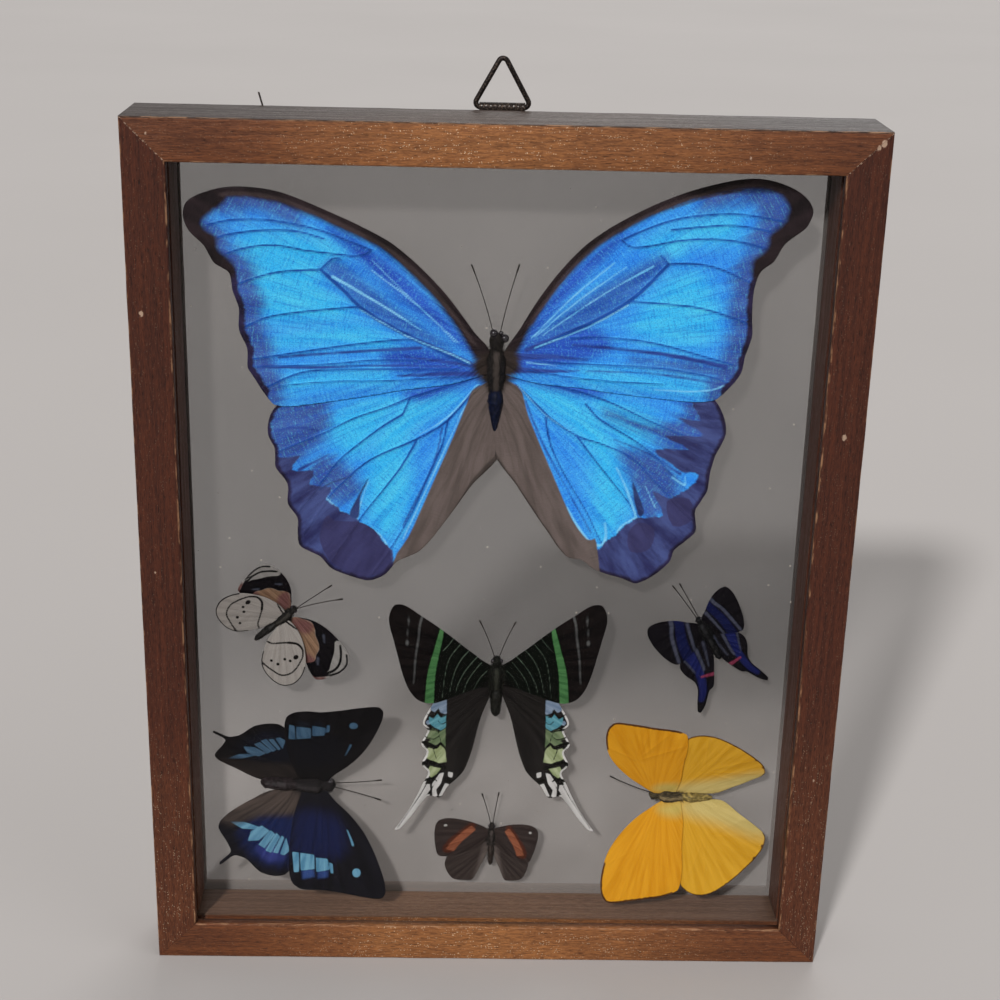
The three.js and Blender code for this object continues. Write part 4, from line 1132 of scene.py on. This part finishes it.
def small_patterns():
    """For each small insect, its forewing's and its hindwing's veins and marks."""
    patterns = {}
    patterns["white_dotted", "fore"] = {
        "veins": fan((2.4, -2.5), (10, -1), [(16, 3), (20, 1), (21, -3), (19.5, -7), (15, -8.5)]),
        "layers": {
            "cream": [area([(2.4, -1.5), (6.3, 0.7), (7.9, 0.1), (9.4, -1), (11.2, -1.6), (12.7, -2.7),
                            (13.4, -4.5), (14.4, -6.2), (13, -9), (3, -5)])],
            "blush": [area([(2.4, -2), (5, 0.4), (7.4, 0.2), (7.2, -3), (3, -4.5)]),
                      area([(11.4, -6.4), (14.6, -5.6), (14.6, -9), (11.6, -8.6)]),
                      rim(1, (6, -7), (0, -1))],
            "black": [area([(5, 1), (6.3, 0.7), (7.9, 0.1), (9.4, -1), (11.2, -1.6), (12.7, -2.7),
                            (13.4, -4.5), (14.4, -6.2), (13.4, -9), (17, -9.6), (18.6, -7.2), (18.8, -4.8),
                            (17.5, -2.6), (16.5, -0.9), (15.5, 0.5), (14, 2), (13, 4)]),
                      line([(2.4, -1.2), (5, 0.8), (9, 2.6), (14, 3.2)], 0.7),
                      line([(17.4, -8.6), (19.6, -6)], 1.5, 0.6),
                      line([(15.6, 2.6), (17.5, 1.1), (18.9, -0.5), (19.6, -2.3), (19.5, -4.4),
                            (18.6, -7)], 0.66),
                      line([(18.6, 2.2), (20.4, 0.7), (21, -1.3), (20.8, -3.4), (20, -5.6)], 0.55)],
            "gloss": [line([(10.6, 0.9), (12.2, -0.3)], 0.5, 0.3),
                      line([(14.4, -4.8), (15.6, -6)], 0.7, 0.4)],
        },
    }
    patterns["white_dotted", "hind"] = {
        "veins": fan((2.2, -4.5), (7, -9), [(13, -7), (16, -12), (14, -17), (9, -18.6), (4, -15)]),
        "layers": {
            "black": [line([(1.5, -4.8), (2.9, -4.2), (4.75, -3.6)], 0.5),
                      line([(2.6, -12.6), (3.8, -11.7), (5, -9.9), (6.4, -7.9), (7.9, -6.4), (9.2, -6),
                            (10.5, -6.2), (11.8, -7.3), (12.6, -9), (13.25, -10.9), (13.45, -13),
                            (12.8, -14.9), (11.65, -16.1), (9.6, -16.8), (7.4, -17.4), (4.7, -17.5),
                            (3, -15.6)], 0.46, 0.44),
                      line([(6.4, -7.9), (7.9, -6.4), (9.2, -6), (10.5, -6.2), (11.8, -7.3)], 0.7, 0.5),
                      rim(0.26, (9, -12), (0.6, -1)),
                      dot((10.8, -9), 0.62, 1.3), dot((10.6, -11), 0.44), dot((9.3, -11.9), 0.44),
                      dot((9.2, -14.4), 0.46), dot((7.3, -15.2), 0.42)],
        },
    }
    patterns["green_urania", "fore"] = {
        "veins": fan((2.2, -5), (14, 1), [(24, 15), (28, 12), (29, 6), (27, -1), (25, -8), (20, -13)]),
        "layers": {
            "moss": [area([(2, -3), (14, 9), (17, 8), (18, -14), (6, -12)])],
            "green": [line([(15.8, 9.4), (16, 8), (16.4, 6), (17.3, 2), (18.2, -2), (18.8, -6.6),
                            (19.1, -14)], 1, 2.6)],
            "thread": [line([(12.4, 6.4), (13.6, 4.6), (15.4, 2.6)], 0.22),
                       line([(10.2, 4.7), (11.6, 3), (13.4, 0.5), (14.3, -2.4), (15, -7),
                             (15.4, -12)], 0.24, 0.16),
                       line([(8, 2.3), (10, 0), (11.6, -3), (12.6, -6.4), (13.4, -10.6)], 0.26, 0.16),
                       line([(5.6, 0.2), (7.6, -2), (9.4, -4.6), (11, -8), (11.6, -10.6)], 0.26, 0.18),
                       line([(4.4, -1.6), (6.6, -4.4), (8.4, -7.4), (9.4, -11)], 0.22, 0.16),
                       line([(3.4, -4.4), (5.2, -7.2), (6.4, -10)], 0.2, 0.14)],
            "grey": [line([(21.2, 13.7), (22, 10.8), (22.3, 7), (22.8, 3.5), (23.2, 0), (23.4, -4),
                           (23.6, -7)], 0.6, 0.3),
                     dot((25.1, 12.2), 0.25, 4), dot((25.4, 8.6), 0.25, 3), dot((25.5, 5.6), 0.35, 2)],
        },
    }
    patterns["green_urania", "hind"] = {
        "veins": fan((2.2, -9), (9, -20), [(18, -15), (20, -21), (20.6, -27), (20.4, -33), (19, -39),
                                           (12, -38)]),
        "layers": {
            "lilac": [patch([(13.9, -13), (17.6, -13.2), (18.8, -15.6), (17.2, -16.8), (16.2, -15.4),
                             (15.6, -17), (13.9, -17.6)]), dot((19, -19.8), 0.7)],
            "sky": [patch([(14, -17.6), (15.6, -18.6), (16.4, -17.2), (17.6, -18.8), (18.8, -18),
                           (18.8, -20), (17.2, -21.6), (15.4, -22.6), (14.1, -21.8)])],
            "moss": [patch([(14.1, -22), (15.6, -23), (18, -21.8), (20, -24.6), (18, -25.4), (19.4, -26.2),
                            (16.6, -27.2), (15.4, -26.2), (14.1, -28.6)])],
            "lime": [patch([(14.2, -28.6), (15.6, -27.2), (17.2, -28.6), (19, -27.8), (20.4, -30.4),
                            (18.2, -32), (16, -33), (13.7, -32.8)]),
                     patch([(15.2, -34.8), (18.4, -33.8), (19.4, -36.2), (18, -37.6), (16.6, -36.6)])],
            "white": [patch([(18.4, -39.6), (20.2, -39.4), (24.8, -47), (29, -55), (26, -54.6),
                             (21.4, -46.4), (18.2, -41.4)]),
                      patch([(14.4, -36.2), (15.6, -36.4), (17.8, -39.6), (17.6, -44.4), (16.2, -43.6),
                             (16.6, -41.6), (15.2, -39.6)]),
                      patch([(12.2, -40.6), (14, -39.6), (15.8, -43.8), (13.6, -43.6)]),
                      patch([(11.8, -36.4), (13.2, -36), (13.2, -37.6), (12, -38)]),
                      rim(0.5, (18.4, -24), (1, 0))],
            "jet": [line([(13.8, -17.6), (15.4, -18.4), (16.4, -16.6), (17.6, -18.2), (19.6, -17)], 0.34),
                    line([(14, -20), (15.2, -20.6), (16.2, -19.6)], 0.3),
                    line([(20.4, -21.6), (18, -22.2), (15.6, -23)], 0.7, 0.3),
                    line([(20.4, -26), (18.4, -26.8), (16.6, -28), (15.4, -26.6), (14, -28.8)], 1, 0.34),
                    line([(20, -24.2), (17.6, -25.2), (16, -24.4)], 0.5, 0.2),
                    line([(17.6, -28.4), (16.6, -31.6)], 0.26), line([(16.2, -23), (15.4, -26)], 0.2),
                    line([(21, -33), (18.6, -32.4), (16, -33.6), (14, -34.8)], 1.2, 0.9),
                    line([(19.8, -38.2), (17.6, -37.8), (16.4, -38.8)], 0.9, 0.4),
                    line([(13.6, -38.6), (11.6, -39.6)], 1.1, 0.6), line([(17.4, -40.2), (18.6, -43)], 0.3),
                    line([(19, -38.6), (20.7, -42.2), (24, -47.6), (27.6, -53.2)], 0.44, 0.26)],
        },
    }
    patterns["tailed_metalmark", "fore"] = {
        "veins": fan((1.6, -2.5), (7, -0.5), [(12, 4), (13.5, 0), (12.6, -5), (10, -9)]),
        "layers": {
            "blue": [line([(5.1, 3), (5.3, 1.06), (6, -1.2), (6.6, -3.9), (6.8, -6.8),
                           (6.6, -9.4)], 2.3, 3)],
            "bar": [line([(7, 3.4), (7.2, 2), (8.3, -0.4), (8.8, -3.1), (9.2, -5.9), (9.5, -9)], 1.1, 0.8),
                    line([(3.4, 0.4), (3.5, -0.4), (3.9, -3.2), (4.3, -6.6), (4.4, -8)], 0.8, 0.7)],
        },
    }
    patterns["tailed_metalmark", "hind"] = {
        "veins": fan((1.6, -6), (5.4, -11), [(9.5, -13), (8.6, -17), (6.6, -19), (4, -18)]),
        "layers": {
            "blue": [line([(6.6, -8), (6.5, -10.2), (6.3, -12.2), (6.2, -15.1), (6.7, -17.6), (7.35, -20.3),
                           (8.8, -22.5)], 3, 1.7)],
            "bar": [line([(4.3, -6.3), (4.4, -9.7), (4.5, -12.5), (4.8, -14.8)], 0.9, 0.7),
                    line([(8.75, -8.4), (7.9, -11.5), (7.25, -14.4)], 0.5, 0.4),
                    line([(2.2, -7), (2.6, -11), (3.2, -14.6)], 0.4, 0.3)],
            "red": [line([(2.4, -17.6), (4.2, -17), (6.2, -16.4)], 1.1, 0.6)],
        },
    }
    patterns["blue_banded", "fore"] = {
        "veins": fan((2.5, -5), (16, -2), [(22, 11), (29, 10), (30, 3), (29, -4), (28, -10), (22, -13)]),
        "layers": {
            # A soft blue wash over the wing's middle: painted sheen.
            "painted_sheen": [area([(7, -9), (9, 0), (17, 3), (20, 0), (20, -12), (10, -12)])],
            "violet": [patch([(23, -10.2), (23, -6.6), (25, -6.4), (25.6, -10)]),
                       patch([(23.4, -5.6), (23.4, -2.4), (25.2, -2.6), (25.6, -5.6)])],
            "sky": [patch([(18.2, -12.8), (18.3, -10.9), (23.6, -10.9), (23.8, -12.4)]),
                    patch([(18.4, -10.5), (19, -6.5), (22.9, -6.4), (23.3, -10.4)]),
                    patch([(19.8, -6), (20.2, -2.6), (23.2, -2.2), (23.8, -5.9)]),
                    patch([(21.2, -2.2), (21.6, -1.2), (24.2, -1), (24.2, -1.8)]),
                    dot((24.2, 5.65), 1.2), line([(12.4, 3.1), (14.6, 4), (16.6, 4.7)], 0.3, 0.7)],
        },
    }
    patterns["blue_banded", "hind"] = {
        "veins": fan((2.5, -9), (10, -17), [(20, -12.6), (24, -17), (23, -22), (20, -27), (17, -31),
                                            (10, -32)]),
        "layers": {
            # A soft blue wash over the wing's middle: painted sheen.
            "painted_sheen": [area([(9, -12), (9, -22), (14, -28), (21, -22), (22, -14), (16, -11)])],
            "sky": [patch([(10.2, -30.6), (10.4, -26.4), (12, -21.4), (12.4, -24), (12.2, -27)]),
                    patch([(11.4, -21.4), (12.8, -19.2), (15.4, -22.2), (15.6, -25.4), (13, -24.6)]),
                    patch([(12.6, -18.8), (13.8, -17.6), (17.6, -20.6), (16.6, -22.4)]),
                    patch([(13.4, -17.2), (14.4, -16.2), (18.9, -18.8), (18.2, -20.4)]),
                    patch([(14, -15.6), (14.8, -15), (19, -16.8), (18.8, -18.2)]),
                    patch([(14.6, -14.4), (18.4, -13.4), (19.6, -15), (19.2, -16.2)])],
            "violet": [area([(17.6, -17), (20.4, -15), (21.4, -19), (19, -22.6), (16.8, -22)])],
            "brown": [area([(2, -12), (8, -11), (8.6, -22), (11, -30), (8, -34), (2, -24)])],
        },
    }
    patterns["orange_banded", "fore"] = {
        "veins": fan((1.8, -2.6), (8, -3), [(14, 0), (15, -3), (14.5, -7), (12.6, -11)]),
        "layers": {
            "rust": [line([(5.8, -0.8), (7, -2.2), (8.5, -4.2), (10, -6.2), (11, -8.6)], 2, 3.2)],
            "orange": [patch([(5.9, -0.7), (7.8, -2.5), (9.2, -4.3), (10.7, -6.5), (11.7, -8.8),
                              (9.4, -9.6), (8.5, -7.4), (7.4, -5.6), (6, -3.9), (4.5, -1.9)])],
            "white": [dot((13, -0.97), 0.5, 0.8)],
        },
    }
    patterns["orange_banded", "hind"] = {
        "veins": fan((1.8, -7), (6, -11), [(12, -12), (11.6, -15.5), (9, -18.4), (5.5, -18.6)]),
        "layers": {"ashy": [area([(1, -6), (2.4, -8), (3.4, -14), (4.6, -19), (0, -18)])]},
    }
    patterns["yellow_sulphur", "fore"] = {
        "veins": fan((2.5, -4), (15, 4), [(20, 12.8), (27, 13), (29.6, 8), (29, 1), (28, -5), (22, -9.4)]),
        "layers": {
            "border": [rim(0.5, (24, 0), (1, 0.4))],
            "pale": [area([(2, -9), (3.4, -2), (5.4, -4), (5.6, -9)])],
        },
    }
    patterns["yellow_sulphur", "hind"] = {
        "veins": fan((2.5, -9), (11, -16), [(24, -10), (25.6, -16), (23, -23), (17, -30), (11, -32),
                                            (7, -27)]),
        "layers": {
            "border": [dot((20, -27.6), 0.5), dot((17.2, -30.4), 0.5), dot((23.8, -22.4), 0.5),
                       dot((14, -32.8), 0.5), rim(0.25, (16, -14), (1, -0.3))],
            "pale": [area([(2, -10), (5, -10), (8, -20), (12, -33), (8, -34), (0, -24)])],
        },
    }
    return patterns


def small_looks():
    """The ground colours and marks of each small insect's wings; a side is named where it differs, as the
    blue-banded one's left wings do with a darker copy painted as shade.
    """
    return {
        ("white_dotted", "fore"): (((116, 113, 110), (138, 134, 130)), [
            ("cream", (92, 68, 51), (136, 108, 86), 0.3, 0.5),
            ("blush", (74, 44, 42), (112, 78, 74), 0.9, 0.8),
            ("black", (4, 3, 4), (16, 13, 16), 0.12, 0.2),
            ("gloss", (52, 54, 66), (74, 76, 88), 0.4, 0.5)]),
        ("white_dotted", "hind"): (((128, 122, 117), (148, 142, 136)), [
            ("black", (12, 10, 10), (24, 20, 20), 0.1, 0.1)]),
        ("green_urania", "fore"): (((4, 3, 3), (22, 17, 16)), [
            ("moss", (3, 5, 3), (10, 14, 9), 2, 0.5),
            ("thread", (72, 86, 74), (98, 110, 96), 0.1, 0.1),
            ("grey", (66, 66, 66), (94, 94, 93), 0.3, 0.5),
            ("green", (46, 88, 48), (76, 122, 74), 0.16, 0.5)]),
        ("green_urania", "hind"): (((15, 13, 12), (34, 31, 29)), [
            ("lilac", (92, 110, 134), (136, 150, 166), 0.2, 0.4),
            ("sky", (62, 120, 136), (104, 156, 166), 0.2, 0.4),
            ("moss", (80, 98, 68), (118, 130, 98), 0.2, 0.5),
            ("lime", (122, 134, 90), (172, 180, 142), 0.2, 0.5),
            ("white", (172, 169, 166), (208, 205, 202), 0.14, 0.4),
            ("jet", (5, 6, 4), (16, 16, 12), 0.12, 0.3)]),
        ("tailed_metalmark", "fore"): (((5, 4, 6), (18, 16, 20)), [
            ("blue", (8, 10, 40), (20, 26, 66), 0.4, 0.6),
            ("bar", (48, 50, 64), (72, 74, 88), 0.3, 0.5)]),
        ("tailed_metalmark", "hind"): (((6, 5, 7), (20, 18, 22)), [
            ("blue", (12, 16, 56), (28, 34, 86), 0.4, 0.6),
            ("bar", (46, 48, 62), (70, 72, 86), 0.3, 0.5),
            ("red", (92, 28, 48), (128, 54, 76), 0.25, 0.5)]),
        ("blue_banded", "fore"): (((5, 5, 8), (17, 16, 24)), [
            # Painted sheen: a soft blue wash over the wing's middle.
            ("painted_sheen", (10, 14, 40), (20, 28, 66), 2.6, 2),
            ("violet", (28, 44, 90), (48, 72, 124), 0.5, 0.6),
            ("sky", (66, 116, 146), (108, 156, 178), 0.12, 0.15)]),
        ("blue_banded", "hind"): (((6, 6, 10), (18, 17, 23)), [
            # Painted sheen: a soft blue wash over the wing's middle.
            ("painted_sheen", (11, 18, 50), (22, 34, 76), 2.4, 2),
            ("violet", (30, 38, 90), (50, 58, 118), 1.2, 1),
            ("sky", (66, 112, 142), (104, 150, 172), 0.12, 0.15),
            ("brown", (48, 41, 38), (78, 67, 61), 1.6, 1)]),
        # The left wings take a darker copy of these colours, as painted shade, with almost none of the
        # painted sheen.
        ("blue_banded", "fore", "left"): (((6, 5, 6), (18, 16, 18)), [
            ("painted_sheen", (7, 7, 11), (14, 14, 20), 2.6, 2),
            ("violet", (10, 12, 18), (20, 24, 32), 0.5, 0.6),
            ("sky", (48, 74, 98), (70, 98, 120), 0.14, 0.15)]),
        ("blue_banded", "hind", "left"): (((7, 6, 7), (20, 18, 19)), [
            ("painted_sheen", (8, 9, 15), (15, 17, 27), 2.4, 2),
            ("violet", (12, 13, 22), (20, 23, 34), 1.2, 1),
            ("sky", (50, 76, 100), (74, 102, 124), 0.14, 0.15),
            ("brown", (24, 20, 19), (42, 36, 34), 1.6, 1)]),
        ("orange_banded", "fore"): (((32, 25, 23), (58, 48, 45)), [
            ("rust", (58, 26, 15), (82, 40, 25), 0.5, 0.6),
            ("orange", (108, 60, 40), (148, 88, 62), 0.25, 0.5),
            ("white", (150, 147, 143), (176, 172, 168), 0.15, 0.2)]),
        ("orange_banded", "hind"): (((40, 32, 30), (62, 53, 49)), [
            ("ashy", (78, 69, 65), (98, 88, 83), 0.8, 1)]),
        ("yellow_sulphur", "fore"): (((202, 134, 16), (218, 154, 32)), [
            ("pale", (184, 160, 80), (200, 176, 96), 2, 1),
            ("border", (60, 34, 14), (92, 56, 24), 0.16, 0.7)]),
        ("yellow_sulphur", "hind"): (((196, 142, 26), (212, 160, 44)), [
            ("pale", (188, 166, 98), (204, 182, 114), 2.6, 2),
            ("border", (70, 42, 18), (104, 68, 32), 0.18, 0.4)]),
    }


def morpho_paint():
    """Bright blue scales in rays from the root, violet at the margin, brown at the front edge; painted sheen
    and painted shade lie over the blue, and a painted shadow beside each hindwing's fold.
    """
    washes = [
        # bright is painted sheen on the blue; slate and deep are painted shade.
        ("bright", (50, 190, 255), (80, 212, 255), 4, 4),
        ("slate", (50, 70, 140), (74, 106, 176), 2.8, 6),
        ("deep", (34, 64, 170), (54, 104, 216), 2.2, 3),
        ("cell", (38, 80, 166), (64, 120, 202), 2, 1)]
    marks = [
        # crease is painted shade in the wing's creases.
        ("crease", (34, 52, 124), (54, 84, 170), 0.35, 0.8),
        ("vein", (16, 62, 140), (30, 88, 180), 0.2, 0.2),
        # streak is painted highlight.
        ("streak", (104, 196, 250), (150, 222, 255), 0.25, 0.4),
        ("dusk", (40, 40, 84), (74, 86, 140), 0.3, 2),
        ("violet", (50, 48, 86), (64, 64, 108), 0.15, 0.4),
        ("slit", (30, 40, 84), (54, 72, 126), 0.3, 0.4),
        ("margin", (24, 20, 34), (48, 40, 74), 0.5, 1.6),
        ("dark", (20, 15, 16), (46, 35, 38), 1, 1.2),
        # pale is a painted sheen line inside the dark front edge.
        ("pale", (52, 42, 40), (74, 60, 62), 0.5, 0.6),
        ("fold", (86, 76, 72), (108, 96, 92), 0.3, 0.4),
        # A painted shadow along the outer edge of each hindwing's fold.
        ("seam", (60, 53, 50), (74, 66, 62), 0.3, 0.3),
        ("hub", (30, 24, 21), (60, 50, 45), 1.2, 1.6)]
    # The fine folds' colours are painted shade and painted highlight.
    return scaled_wing("morpho_scales", ((46, 142, 246), (70, 176, 255)), marks, washes,
                       ripple=((26, 84, 198), (110, 222, 255)))


def morpho_reverse():
    """Brown underside with pale wavy bands and a row of ringed eyespots."""
    marks = [
        ("bands", (190, 174, 146), (212, 196, 168), 0.4, 2),
        ("ring", (186, 160, 92), (200, 176, 112), 0.12, 0.1),
        ("pupil", (20, 16, 16), (34, 28, 26), 0.12, 0.1),
        ("glint", (190, 196, 206), (206, 210, 218), 0.1, 0),
        ("margin", (112, 96, 78), (140, 122, 100), 0.4, 1),
        ("vein", (96, 76, 52), (112, 90, 62), 0.2, 0.2)]
    return scaled_wing("morpho_reverse", ((128, 102, 78), (156, 126, 98)), marks)


def insects():
    """The bodies of all seven, then the large one's wings, then the small ones' wings."""
    eye = glossy_eye("eye_black")
    for insect in INSECTS:
        name = insect["name"]
        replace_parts(torso(insect, body_skin(insect)), f"{name}_body")
        dark, light, _ = insect["fur"]
        hairs(insect, fur(f"{name}_fur", dark, light))
        eyes(insect, eye)
        antennae(insect, fur(f"{name}_antenna", (22, 20, 20), (52, 46, 42), 0.5))
    large = morpho_patterns()
    names = {key for pattern in large.values() for key in pattern["layers"]}
    top = morpho_paint()
    under = morpho_reverse()
    for (kind, side), pattern in large.items():
        for missing in sorted(names - set(pattern["layers"])):
            pattern["layers"][missing] = [nowhere]
        pattern["layers"].update(reverse_marks(kind))
        wing(INSECTS[0], kind, side, pattern, [top, under], WING_CELL)
    small = small_patterns()
    looks = small_looks()
    for insect in INSECTS[1:]:
        name = insect["name"]
        for kind in ("fore", "hind"):
            under = scaled_wing(f"{name}_{kind}_reverse", *looks[name, kind], dull=(160, 142, 124))
            for side in ("left", "right"):
                look = looks.get((name, kind, side), looks[name, kind])
                upper = scaled_wing(f"{name}_{kind}_{side}_scales", *look)
                wing(insect, kind, side, small[name, kind], [upper, under], SMALL_CELL)


# ---------------------------------------------------------------- the stage


def floor():
    bm = bmesh.new()
    bmesh.ops.create_grid(bm, x_segments=1, y_segments=1, size=FLOOR)
    mesh = bpy.data.meshes.new("floor")
    bm.to_mesh(mesh)
    bm.free()
    ground = bpy.data.objects.new("floor", mesh)
    bpy.context.scene.collection.objects.link(ground)
    paint = Paint("floor")
    cloud = paint.noise(paint.place((0.002, 0.002, 0.002)), 1)
    paint.set(Base_Color=paint.blend(cloud, linear(172, 167, 164), linear(180, 175, 172)), Roughness=0.9)
    mesh.materials.append(paint.material)


def soft_sun(name, spot, spread, strength):
    """A far-off soft light from that side, its shadows' edges widened by spread degrees."""
    light = bpy.data.lights.new(name, "SUN")
    light.angle = math.radians(spread)
    light.energy = strength
    lamp = bpy.data.objects.new(name, light)
    lamp.rotation_euler = (-Vector(spot)).to_track_quat("-Z", "Y").to_euler()
    bpy.context.scene.collection.objects.link(lamp)


def studio():
    """A pale floor in a soft room, with a low key light from the front left."""
    floor()
    world = bpy.data.worlds.new("soft_room")
    world.use_nodes = True
    sky = world.node_tree.nodes["Background"]
    sky.inputs[0].default_value = (1.0, 0.985, 0.975, 1)
    sky.inputs[1].default_value = 0.34
    bpy.context.scene.world = world
    bpy.context.scene.view_settings.view_transform = "Standard"
    soft_sun("key", (-0.5, -1.25, 0.95), 5, 2.75)
    soft_sun("fill", (1.0, -0.6, 0.8), 40, 0.35)
    soft_sun("back", (0.3, 1.3, 0.9), 40, 1.1)


def camera():
    """The eye that looks down at the frame's face."""
    forward = Vector(LOOK)
    right = forward.cross(Vector(UP)).normalized()
    up = right.cross(forward).normalized()
    lens = bpy.data.cameras.new("camera")
    lens.lens = LENS
    lens.sensor_width = SENSOR
    eye = bpy.data.objects.new("camera", lens)
    turn = Matrix((right, up, -forward)).transposed().to_4x4()
    eye.matrix_world = Matrix.Translation(Vector(EYE) * MM) @ turn
    bpy.context.scene.collection.objects.link(eye)
    bpy.context.scene.camera = eye


dress_frame()
strap_dimples()
hanger_ring()
insects()
studio()
camera()
